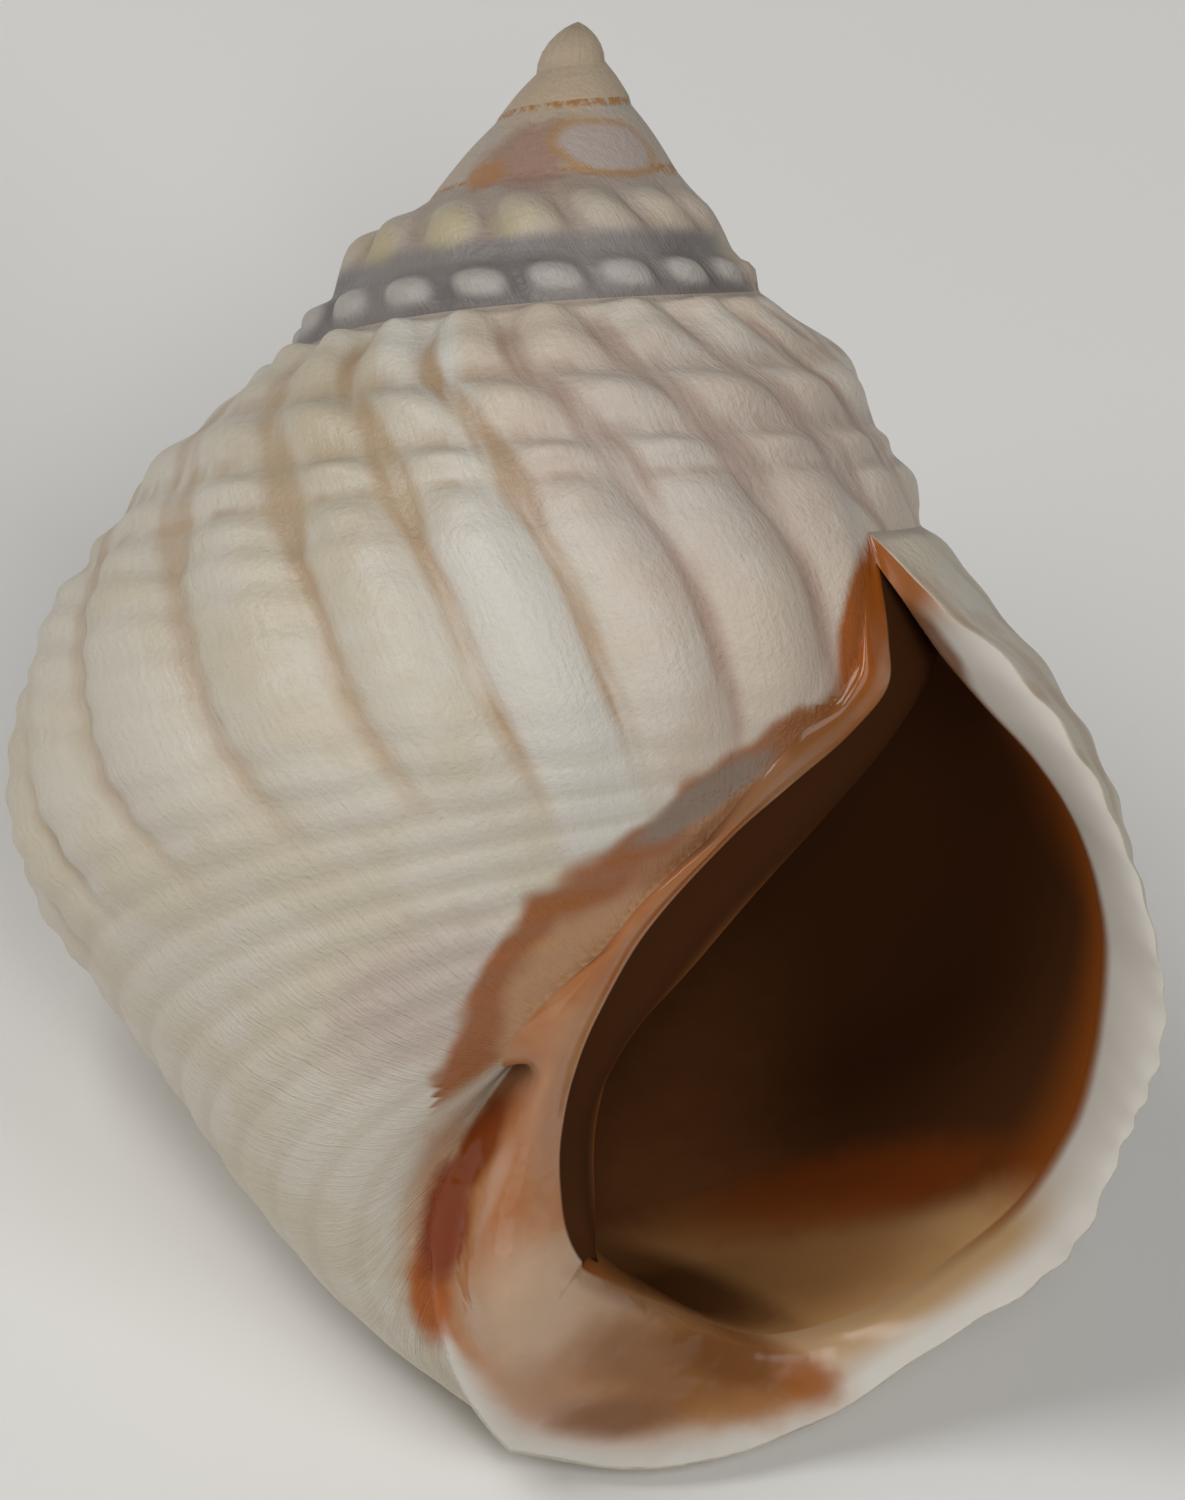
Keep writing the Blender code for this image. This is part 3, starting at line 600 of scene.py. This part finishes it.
# where each marking sets in and ends: by growth angle, way down the side, station round the mouth or way
# across the lip, or by the height of ribs, cords and noise
limits = {
    "blush": (-62.0, -70.0), "whiteRib": ((-66.5, -63.0), (-47.5, -51.5)), "whiteCloud": (0.42, 0.62),
    "ribbed": ((0.2, 1.0), (10.5, 8.0)), "tanSide": (-82.0, -60.0), "groove": (0.52, 0.08),
    "brokenGroove": (0.2, 0.62), "paleGrooves": (-38.0, -22.0),
    "cordGroove": (0.5, 0.0), "lowCords": (8.2, 10.0), "rows": ((1.2, 1.8), (4.6, 4.2)),
    "rowGroove": (0.4, 0.0), "brokenRow": (0.35, 0.6), "sutureShade": (0.28, 0.1),
    "knob": (0.5, 0.08), "bead": (0.7, 0.15), "beadBand": (2.75, 3.35), "beadCloud": (0.45, 0.65),
    "knobbed": (-250.0, -262.0), "worn": (-488.0, -505.0), "wornCloud": (0.45, 0.7),
    "sutureTop": (0.55, 0.15), "sutureFoot": (5.0, 5.35), "sutureStart": (-985.0, -960.0),
    "sutureGrain": (0.35, 0.6), "tip": (-860.0, -960.0), "base": (10.0, 13.0),
    "glazeFront": (60.0, 40.0), "glazeFoot": (15.2, 14.6), "glaze": (-0.1, 0.22),
    "streak": ((-0.12, 0.12), (0.75, 0.35)),
    "outside": (0.04, 0.0), "outerLip": ((0.06, 0.14), (0.97, 0.88)), "pastRim": (0.0, 0.05),
    "wrinkled": ((0.8, 0.95), (1.6, 1.4)), "wrinklesEnd": (1.0, 0.9), "intoHollow": (0.98, 1.0),
    "lipTan": ((0.66, 0.76), (0.97, 0.88)), "tanAcross": (0.25, 0.8), "darkLip": (0.84, 0.7),
    "darkAcross": (0.84, 1.0), "lipCloud": (0.38, 0.68),
    "spoon": ((0.84, 0.92), (1.24, 1.1)), "spoonAcross": (0.22, 0.45),
    "whiteRim": ((0.84, 0.9), (1.44, 1.34)), "rimNarrows": (1.02, 1.14), "rimReach": (0.4, 0.12),
    "edgeNarrows": (0.3, 0.45), "edgeReach": (1.32, 1.13), "floor": ((0.72, 0.8), (1.02, 0.95)),
    "deep": (1.3, 1.75), "pillar": ((1.0, 1.08), (2.1, 2.0)), "pillarDeep": (1.5, 1.2),
}
# colour patches, placed in the view in millimetres: middle, reach, turn in degrees, softness, raggedness,
# colour, strength and the side they lie on
patches = [
    ("rightGrooves", (1.9, -5.8, 5.0), (2.6, 1.7, 3.5), 0, 0.6, 0.3, (0.47, 0.38, 0.34), 0.3, "outside"),
    ("topYellow", (-3.2, -5.8, 5.0), (1.9, 1.3, 3.0), -20, 0.7, 0.4, (0.5, 0.4, 0.26), 0.4, "outside"),
    ("yellowKnobA", (-2.79, -3.0, 2.0), (0.3, 0.3, 1.2), 0, 0.9, 0.3, (0.5, 0.41, 0.2), 0.55, "outside"),
    ("yellowKnobB", (-1.81, -2.8, 2.4), (0.36, 0.3, 1.2), 0, 0.9, 0.3, (0.52, 0.45, 0.25), 0.55, "outside"),
    ("yellowKnobC", (-0.88, -2.74, 2.5), (0.32, 0.22, 1.2), 0, 0.9, 0.3, (0.52, 0.45, 0.27), 0.55, "outside"),
    ("youngBrown", (-0.62, -1.8, 1.5), (0.75, 0.45, 1.2), 20, 0.6, 0.4, (0.34, 0.2, 0.15), 0.8, "outside"),
    ("youngOrange", (-1.27, -2.08, 1.4), (0.28, 0.2, 0.6), 30, 0.9, 0.5, (0.42, 0.2, 0.08), 0.8, "outside"),
    ("ringOrange", (0.4, -1.68, 1.5), (0.85, 0.46, 0.9), -6, 0.3, 0.25, (0.44, 0.25, 0.11), 0.8, "outside"),
    ("ringWhite", (0.4, -1.66, 1.5), (0.68, 0.34, 0.9), -6, 0.35, 0.25, (0.46, 0.38, 0.34), 1.0, "outside"),
    ("basePink", (-2.0, -13.2, 4.0), (1.5, 0.9, 2.0), 35, 0.9, 0.5, (0.5, 0.39, 0.35), 0.6, "outside"),
    ("blueGlaze", (1.75, -10.52, 4.9), (1.1, 0.24, 1.0), 33, 0.7, 0.3, (0.24, 0.195, 0.15), 0.8, "skin"),
    ("parietal", (3.85, -8.2, 4.1), (0.32, 1.15, 1.4), -9, 0.5, 0.2, (0.34, 0.088, 0.008), 1.0, "skin"),
    ("parietalLow", (3.3, -9.6, 4.2), (0.3, 0.75, 1.4), -45, 0.7, 0.2, (0.27, 0.095, 0.022), 0.9, "skin"),
    ("creaseBrown", (2.1, -10.75, 4.4), (0.16, 1.3, 1.4), -52, 0.8, 0.3, (0.3, 0.14, 0.065), 0.8, "skin"),
    ("streakHalo", (-1.87, -16.35, 1.9), (0.5, 1.7, 2.0), -12, 1.0, 0.2, (0.46, 0.2, 0.065), 0.75, "skin"),
    ("streakLow", (-2.03, -17.4, 1.0), (0.27, 0.75, 1.6), 4, 0.8, 0.2, (0.42, 0.1, 0.005), 1.0, "skin"),
    ("streak", (-1.84, -16.45, 1.9), (0.34, 0.95, 1.8), -10, 0.6, 0.25, (0.23, 0.038, 0.002), 1.0, "skin"),
    ("streakTop", (-1.38, -15.35, 2.4), (0.24, 0.9, 1.6), -26, 0.7, 0.2, (0.22, 0.042, 0.004), 1.0, "skin"),
    # the pale ridge between the streak and the pillar, with a painted highlight along it
    ("ridgePaleHighlight", (-1.2, -15.95, 2.2), (0.12, 0.75, 1.6), -24, 1.0, 0.2, (0.5, 0.3, 0.2), 0.6, "lip"),
    ("cornerBrown", (4.75, -8.5, 3.1), (0.25, 0.95, 1.4), 38, 0.6, 0.2, (0.21, 0.075, 0.022), 0.85, "lip"),
    ("pillarPale", (-0.35, -15.2, 3.0), (0.4, 1.3, 1.8), -3, 0.9, 0.3, (0.46, 0.27, 0.16), 0.5, "lip"),
    # pale pinkish tan on the spoon, partly a painted highlight
    ("spoonPaleHighlight", (-0.55, -17.6, 1.5), (0.75, 1.2, 1.8), 10, 1.0, 0.15, (0.56, 0.38, 0.25), 0.85, "lip"),
    ("spoonTan", (0.1, -18.7, 0.4), (0.95, 0.55, 1.8), -12, 1.0, 0.3, (0.4, 0.2, 0.1), 0.8, "lip"),
    ("spoonOrange", (1.75, -18.45, -1.0), (2.05, 0.74, 2.0), -12, 0.7, 0.15, (0.43, 0.19, 0.06), 0.9, "lip"),
    ("spoonMiddle", (1.5, -18.38, -0.6), (1.7, 0.62, 2.0), -14, 0.9, 0.15, (0.26, 0.11, 0.035), 0.95, "lip"),
    ("spoonRight", (2.2, -18.3, -1.6), (1.05, 0.34, 1.8), -15, 1.0, 0.15, (0.19, 0.066, 0.014), 0.9, "lip"),
    ("spoonEnd", (3.15, -18.6, -2.0), (0.42, 0.3, 1.8), -20, 1.2, 0.15, (0.33, 0.1, 0.016), 0.8, "lip"),
    ("spoonLow", (0.62, -19.06, -0.6), (0.9, 0.3, 1.8), 3, 1.1, 0.15, (0.21, 0.08, 0.022), 0.9, "lip"),
    ("farWall", (1.6, -14.4, 0.0), (1.7, 2.9, 5.0), -12, 1.2, 0.1, (0.34, 0.125, 0.04), 0.9, "hollow"),
    ("floorBright", (5.1, -16.95, -3.2), (1.7, 0.65, 3.5), 32, 1.0, 0.2, (0.62, 0.36, 0.16), 0.9, "hollow"),
    ("floorDim", (2.6, -17.0, -3.6), (2.3, 0.75, 3.5), 4, 1.0, 0.2, (0.36, 0.17, 0.06), 0.8, "hollow"),
    ("floorOrange", (3.9, -15.95, -3.7), (2.3, 0.5, 3.5), 12, 1.0, 0.2, (0.25, 0.055, 0.009), 0.8, "hollow"),
    # the next two patches are painted shadow below the pillar's foot, on the hollow's floor and on the lip
    # beside it
    ("pillarFootShadow", (1.25, -17.25, -2.5), (1.65, 0.33, 4.0), -20, 1.0, 0.1, (0.1, 0.036, 0.01), 0.9, "hollow"),
    ("footShade", (1.25, -17.5, -0.4), (1.5, 0.22, 2.5), -20, 1.0, 0.1, (0.2, 0.085, 0.028), 0.7, "lip"),
]


def put(tree, kind, inputs=None, **settings):
    node = tree.nodes.new(kind)
    for name, value in settings.items():
        setattr(node, name, value)
    for key, value in (inputs or {}).items():
        if isinstance(value, bpy.types.NodeSocket):
            tree.links.new(value, node.inputs[key])
        else:
            node.inputs[key].default_value = value
    return node


def calc(tree, operation, first, second=0.0):
    return put(tree, "ShaderNodeMath", {0: first, 1: second}, operation=operation).outputs[0]


def times(tree, *values):
    product = values[0]
    for value in values[1:]:
        product = calc(tree, "MULTIPLY", product, value)
    return product


def centred(tree, value):
    return calc(tree, "SUBTRACT", value, 0.5)


def between(tree, value, low, high):
    # 0 below low, 1 above high, smooth between; swapped limits turn it round
    inputs = {"Value": value, "From Min": low, "From Max": high}
    return put(tree, "ShaderNodeMapRange", inputs, interpolation_type="SMOOTHSTEP").outputs["Result"]


def blend(tree, mask, under, over):
    colours = [c if isinstance(c, bpy.types.NodeSocket) else (*c, 1.0) for c in (under, over)]
    return put(tree, "ShaderNodeMix", {0: mask, 6: colours[0], 7: colours[1]}, data_type="RGBA").outputs[2]


def mixValue(tree, mask, under, over):
    return put(tree, "ShaderNodeMix", {0: mask, 2: under, 3: over}, data_type="FLOAT").outputs[0]


def within(tree, value, name):
    # 1 past the named soft limit, or between the two
    if isinstance(limits[name][0], tuple):
        return times(tree, *(between(tree, value, *pair) for pair in limits[name]))
    return between(tree, value, *limits[name])


def noise(tree, vector, scale, detail=3.0, rough=0.55):
    inputs = {"Vector": vector, "Scale": scale, "Detail": detail, "Roughness": rough}
    return put(tree, "ShaderNodeTexNoise", inputs).outputs["Fac"]


def groupInput(group, name, kind, value=None):
    item = group.interface.new_socket(name=name, in_out="INPUT", socket_type=kind)
    if value is not None:
        item.default_value = value


def makePatchGroup():
    # an oval patch with ragged, soft edges
    group = bpy.data.node_groups.new("raggedPatch", "ShaderNodeTree")
    groupInput(group, "Point", "NodeSocketVector")
    groupInput(group, "Middle", "NodeSocketVector")
    groupInput(group, "Reach", "NodeSocketVector", (1.0, 1.0, 1.0))
    for name, value in (("Turn", 0.0), ("Softness", 0.5), ("Rough", 0.0), ("Raggedness", 0.3)):
        groupInput(group, name, "NodeSocketFloat", value)
    group.interface.new_socket(name="Mask", in_out="OUTPUT", socket_type="NodeSocketFloat")
    start = group.nodes.new("NodeGroupInput")
    end = group.nodes.new("NodeGroupOutput")
    offset = put(group, "ShaderNodeVectorMath", {0: start.outputs["Point"], 1: start.outputs["Middle"]},
                 operation="SUBTRACT").outputs[0]
    turned = put(group, "ShaderNodeVectorRotate",
                 {"Vector": offset, "Angle": times(group, start.outputs["Turn"], -1.0)},
                 rotation_type="Z_AXIS").outputs[0]
    scaled = put(group, "ShaderNodeVectorMath", {0: turned, 1: start.outputs["Reach"]},
                 operation="DIVIDE").outputs[0]
    away = put(group, "ShaderNodeVectorMath", {0: scaled}, operation="LENGTH").outputs["Value"]
    ragged = times(group, start.outputs["Rough"], times(group, start.outputs["Raggedness"], 2.0))
    away = calc(group, "ADD", away, ragged)
    edge = times(group, start.outputs["Softness"], 0.5)
    near = calc(group, "SUBTRACT", 1.0, edge)
    far = calc(group, "ADD", 1.0, edge)
    group.links.new(between(group, away, far, near), end.inputs["Mask"])
    return group


def makeLinesGroup():
    # fine growth lines: noise drawn out along the lines, and the grain of the shell
    group = bpy.data.node_groups.new("growthLines", "ShaderNodeTree")
    groupInput(group, "Point", "NodeSocketVector")
    groupInput(group, "Growth", "NodeSocketFloat")
    groupInput(group, "Down", "NodeSocketFloat")
    for name in ("Fine", "Broad", "Grain"):
        group.interface.new_socket(name=name, in_out="OUTPUT", socket_type="NodeSocketFloat")
    start = group.nodes.new("NodeGroupInput")
    end = group.nodes.new("NodeGroupOutput")
    for name in ("Fine", "Broad"):
        across, along, detail = noises[name]
        place = put(group, "ShaderNodeCombineXYZ", {
            0: times(group, start.outputs["Growth"], across),
            1: times(group, start.outputs["Down"], along)}).outputs[0]
        group.links.new(noise(group, place, 1.0, detail), end.inputs[name])
    group.links.new(noise(group, start.outputs["Point"], *noises["Grain"]), end.inputs["Grain"])
    return group


def startFinish(name):
    # a new material, what it reads of the mesh, and the place of each point in the view of the mouth
    material = bpy.data.materials.new(name)
    material.use_nodes = True
    tree = material.node_tree
    marks = {mark: put(tree, "ShaderNodeAttribute", attribute_name=mark).outputs["Fac"]
             for mark in ("growthAngle", "wayDown", "ribs", "cords", "lipAcross", "station", "glazed")}
    back = restTurn.transposed()
    start = back @ Vector((*rest["centre"], rest["ground"]))
    point = put(tree, "ShaderNodeMapping", {
        "Vector": put(tree, "ShaderNodeTexCoord").outputs["Object"],
        "Location": start, "Rotation": back.to_euler(), "Scale": (1000.0, 1000.0, 1000.0)}).outputs[0]
    ragged = centred(tree, noise(tree, point, *noises["ragged"]))

    def patched(colour, side):
        for _, middle, reach, turn, soft, rough, tint, amount, where in patches:
            if where == side:
                mask = put(tree, "ShaderNodeGroup", {
                    "Point": point, "Middle": middle, "Reach": reach, "Turn": math.radians(turn),
                    "Softness": soft, "Rough": ragged, "Raggedness": rough},
                    node_tree=patchGroup).outputs["Mask"]
                colour = blend(tree, times(tree, mask, amount), colour, tint)
        return colour

    return material, tree, tree.nodes["Principled BSDF"], marks, point, patched


def hollowColour(tree, marks, patched):
    # dark chestnut, browner at the edges and the pillar, tan on its floor next to the base, and darkest on
    # the wall just behind the pillar, which is painted shade
    across, station = marks["lipAcross"], marks["station"]
    edgeReach = mixValue(tree, within(tree, station, "edgeNarrows"), *limits["edgeReach"])
    inside = blend(tree, between(tree, across, edgeReach, 1.0), paint["dark"], paint["edgeInside"])
    inside = blend(tree, within(tree, station, "floor"), inside, paint["floorTan"])
    inside = blend(tree, within(tree, across, "deep"), inside, paint["dark"])
    inside = patched(inside, "hollow")
    # painted shade on the hollow's wall just behind the pillar's edge
    paintedPillarShade = times(tree, within(tree, station, "pillar"), within(tree, across, "pillarDeep"))
    return blend(tree, paintedPillarShade, inside, paint["pillarShade"])


def lipColour(tree, marks, outerLip, cloud):
    # white outer half with a brown inner edge, and a tan glaze on the inner side
    across, station = marks["lipAcross"], marks["station"]
    tan = times(tree, within(tree, station, "lipTan"), within(tree, across, "tanAcross"))
    outer = blend(tree, tan, paint["lipWhite"], paint["lipTan"])
    dark = times(tree, within(tree, station, "darkLip"), within(tree, across, "darkAcross"))
    outer = blend(tree, dark, outer, paint["lipEdge"])
    inner = blend(tree, within(tree, cloud, "lipCloud"), paint["glaze"], paint["glazePale"])
    lip = blend(tree, outerLip, inner, outer)
    spoon = times(tree, within(tree, station, "spoon"), within(tree, across, "spoonAcross"))
    lip = blend(tree, spoon, lip, paint["spoon"])
    reach = mixValue(tree, within(tree, station, "rimNarrows"), *limits["rimReach"])
    white = times(tree, within(tree, station, "whiteRim"), between(tree, across, reach, 0.03))
    return blend(tree, white, lip, paint["lipWhite"])


def bodyColour(tree, marks, cloud, broad):
    # cream with whiter ribs, blush on the right of the front, tan and pinkish brown in the grooves, and
    # painted shade along the top edge by the suture
    angle, down, ribs, cords = marks["growthAngle"], marks["wayDown"], marks["ribs"], marks["cords"]
    p = paint
    body = blend(tree, within(tree, angle, "blush"), p["cream"], p["blush"])
    body = blend(tree, times(tree, within(tree, angle, "whiteRib"), 0.9), body, p["white"])
    body = blend(tree, times(tree, within(tree, cloud, "whiteCloud"), 0.5), body, p["white"])
    groove = blend(tree, within(tree, angle, "tanSide"), p["pinkGroove"], p["tanGroove"])
    inGroove = times(tree, within(tree, ribs, "groove"), within(tree, down, "ribbed"),
                     within(tree, broad, "brokenGroove"),
                     mixValue(tree, within(tree, angle, "paleGrooves"), 1.0, 0.6))
    body = blend(tree, inGroove, body, groove)
    lowCord = times(tree, within(tree, cords, "cordGroove"), within(tree, down, "lowCords"))
    body = blend(tree, times(tree, lowCord, 0.35), body, p["cordGroove"])
    inRow = times(tree, within(tree, down, "rows"), within(tree, cords, "rowGroove"),
                  within(tree, broad, "brokenRow"), 0.5)
    body = blend(tree, inRow, body, groove)
    # painted shade: darker along the whorl's top edge, by the suture
    return blend(tree, times(tree, within(tree, down, "sutureShade"), 0.8), body, p["sutureShade"])


def knobbedColour(tree, marks, cloud):
    # white beads on a blue-grey band, creamy knobs with pinkish brown between them over it
    down, ribs = marks["wayDown"], marks["ribs"]
    knobs = blend(tree, within(tree, ribs, "knob"), paint["knobTop"], paint["knobValley"])
    beads = blend(tree, within(tree, ribs, "bead"), paint["bead"], paint["blueGrey"])
    knobbed = blend(tree, within(tree, down, "beadBand"), knobs, beads)
    return blend(tree, times(tree, within(tree, cloud, "beadCloud"), 0.25), knobbed, paint["bead"])


def wornColour(tree, marks, cloud, grain):
    # pinkish cream with orange-brown suture lines, and a cream tip
    angle, down = marks["growthAngle"], marks["wayDown"]
    pale = times(tree, within(tree, cloud, "wornCloud"), 0.6)
    worn = blend(tree, pale, paint["youngCream"], paint["bead"])
    suture = calc(tree, "MAXIMUM", within(tree, down, "sutureTop"),
                  within(tree, down, "sutureFoot"))
    suture = times(tree, suture, within(tree, angle, "sutureStart"),
                   within(tree, grain, "sutureGrain"))
    worn = blend(tree, suture, worn, paint["sutureLine"])
    return blend(tree, within(tree, angle, "tip"), worn, paint["tipCream"])


def hollowMaterial():
    material, tree, surface, marks, point, patched = startFinish("hollowFinish")
    tree.links.new(hollowColour(tree, marks, patched), surface.inputs["Base Color"])
    surface.inputs["Roughness"].default_value = gloss["hollow"]
    surface.inputs["Specular IOR Level"].default_value = 0.0
    return material


def shellMaterial(name, hasLip):
    # the outside of the shell, and with it the lip where there is one
    material, tree, surface, marks, point, patched = startFinish(name)
    angle, down, across, station = (marks[k] for k in ("growthAngle", "wayDown", "lipAcross", "station"))
    linesNode = put(tree, "ShaderNodeGroup", {"Point": point, "Growth": angle, "Down": down},
                    node_tree=linesGroup)
    fine, broad, grain = (linesNode.outputs[name] for name in ("Fine", "Broad", "Grain"))
    cloud = noise(tree, point, *noises["cloud"])
    colour = blend(tree, within(tree, angle, "knobbed"), bodyColour(tree, marks, cloud, broad),
                   knobbedColour(tree, marks, cloud))
    colour = blend(tree, within(tree, angle, "worn"), colour, wornColour(tree, marks, cloud, grain))
    colour = patched(colour, "outside")
    onBase = within(tree, down, "base")
    streaks = times(tree, centred(tree, fine), mixValue(tree, onBase, *fineRelief["shade"]))
    streaks = calc(tree, "ADD", streaks, 1.0)
    colour = put(tree, "ShaderNodeVectorMath", {0: colour, 3: streaks}, operation="SCALE").outputs[0]

    # glaze that spreads over the base from the inner lip, with an orange-brown streak along its edge
    waver = times(tree, centred(tree, noise(tree, point, *noises["waver"])), fineRelief["waver"])
    wavered = calc(tree, "ADD", calc(tree, "ADD", marks["glazed"], waver), fineRelief["waverShift"])
    base = times(tree, within(tree, angle, "glazeFront"), within(tree, down, "glazeFoot"))
    glaze = times(tree, within(tree, wavered, "glaze"), base)
    colour = blend(tree, glaze, colour, paint["glazePale"])
    streak = times(tree, within(tree, wavered, "streak"), base, 0.95)
    colour = blend(tree, streak, colour, paint["glazeStreak"])

    rough = times(tree, centred(tree, grain), gloss["grainy"])
    rough = mixValue(tree, glaze, calc(tree, "ADD", rough, gloss["outside"]), gloss["glaze"])
    height = times(tree, centred(tree, fine), mixValue(tree, onBase, *fineRelief["lines"]))
    height = calc(tree, "ADD", height, times(tree, centred(tree, grain), fineRelief["grain"]))
    if hasLip:
        outside = within(tree, across, "outside")
        outerLip = within(tree, station, "outerLip")
        colour = blend(tree, outside, patched(lipColour(tree, marks, outerLip, cloud), "lip"), colour)
        rough = mixValue(tree, outside, gloss["glaze"], rough)
        onLip = times(tree, outerLip, within(tree, across, "pastRim"))
        rough = mixValue(tree, onLip, rough, gloss["lip"])
        wrinkle = times(tree, centred(tree, noise(tree, point, *noises["wrinkle"])), fineRelief["wrinkle"],
                        within(tree, station, "wrinkled"), within(tree, across, "wrinklesEnd"))
        height = mixValue(tree, outside, wrinkle, height)
    colour = patched(colour, "skin")
    if hasLip:
        # the last of the lip takes the look of the hollow
        deep = within(tree, across, "intoHollow")
        colour = blend(tree, deep, colour, hollowColour(tree, marks, patched))
        rough = mixValue(tree, deep, rough, gloss["hollow"])
    tree.links.new(colour, surface.inputs["Base Color"])
    tree.links.new(rough, surface.inputs["Roughness"])
    surface.inputs["Specular IOR Level"].default_value = gloss["specular"]
    bumpy = put(tree, "ShaderNodeBump", {"Height": height, "Strength": 1.0, "Distance": fineRelief["depth"]})
    tree.links.new(bumpy.outputs[0], surface.inputs["Normal"])
    return material


patchGroup = makePatchGroup()
linesGroup = makeLinesGroup()
mesh.materials.append(shellMaterial("shellFinish", False))
mesh.materials.append(shellMaterial("lipFinish", True))
mesh.materials.append(hollowMaterial())
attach(shell, "root")
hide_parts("shell")
print("finish made")

# floor, lights and camera
floorLook = {"size": 0.8, "colour": (0.86, 0.85, 0.83, 1.0), "roughness": 0.7}
bpy.ops.object.select_all(action="DESELECT")
bpy.ops.mesh.primitive_plane_add(size=floorLook["size"], location=(0, 0, 0))
floor = bpy.context.object
floor.name = "paleFloor"
floorMaterial = bpy.data.materials.new("paleFloorFinish")
floorMaterial.use_nodes = True
floorSurface = floorMaterial.node_tree.nodes["Principled BSDF"]
floorSurface.inputs["Base Color"].default_value = floorLook["colour"]
floorSurface.inputs["Roughness"].default_value = floorLook["roughness"]
floor.data.materials.append(floorMaterial)

softBoxes = [
    {"name": "softBoxAbove", "from": (-0.50, 0.65, 1.0), "distance": 0.22, "size": 0.10, "power": 0.205},
    {"name": "softBoxRight", "from": (0.8, 0.0, 0.9), "distance": 0.25, "size": 0.12, "power": 0.120},
    {"name": "softBoxBelow", "from": (-0.3, -0.9, 0.75), "distance": 0.25, "size": 0.16, "power": 0.080},
    {"name": "softBoxFront", "from": (0.12, 0.06, 1.0), "distance": 0.31, "size": 0.07, "power": 0.140},
]


def toWorld(place):
    point = Vector(place) @ restTurn.transposed()
    return (point - Vector((*rest["centre"], rest["ground"]))) * 0.001


shellMiddle = (0.2, -9.9, 0.0)
target = toWorld(shellMiddle)
for box in softBoxes:
    light = bpy.data.lights.new(box["name"], "AREA")
    light.shape = "SQUARE"
    light.size = box["size"]
    light.energy = box["power"]
    lamp = bpy.data.objects.new(box["name"], light)
    direction = (restTurn @ Vector(box["from"])).normalized()
    lamp.location = target + direction * box["distance"]
    lamp.rotation_mode = "QUATERNION"
    lamp.rotation_quaternion = direction.to_track_quat("Z", "Y")
    bpy.context.scene.collection.objects.link(lamp)

room = {"colour": (1.0, 0.985, 0.96, 1.0), "strength": 0.15}
world = bpy.data.worlds.new("studio")
world.use_nodes = True
world.node_tree.nodes["Background"].inputs["Color"].default_value = room["colour"]
world.node_tree.nodes["Background"].inputs["Strength"].default_value = room["strength"]
bpy.context.scene.world = world
bpy.context.scene.view_settings.view_transform = "Standard"

photo = {"tipAt": (578.0, 27.0), "scale": 73.05, "size": (1185.0, 1500.0)}
camera = {"lens": 500.0, "sensor": 36.0, "nearest": 0.01, "farthest": 10.0}
middle = ((photo["size"][0] / 2 - photo["tipAt"][0]) / photo["scale"],
          (photo["tipAt"][1] - photo["size"][1] / 2) / photo["scale"])
reach = photo["size"][1] / photo["scale"] * 0.001 * camera["lens"] / camera["sensor"]
lens = bpy.data.cameras.new("photoCamera")
lens.lens = camera["lens"]
lens.sensor_width = camera["sensor"]
lens.clip_start = camera["nearest"]
lens.clip_end = camera["farthest"]
eye = bpy.data.objects.new("photoCamera", lens)
place = toWorld((*middle, 0.0)) + restTurn @ Vector((0, 0, reach))
eye.matrix_world = Matrix.Translation(place) @ restTurn.to_4x4()
bpy.context.scene.collection.objects.link(eye)
bpy.context.scene.camera = eye
print("floor, lights and camera placed")
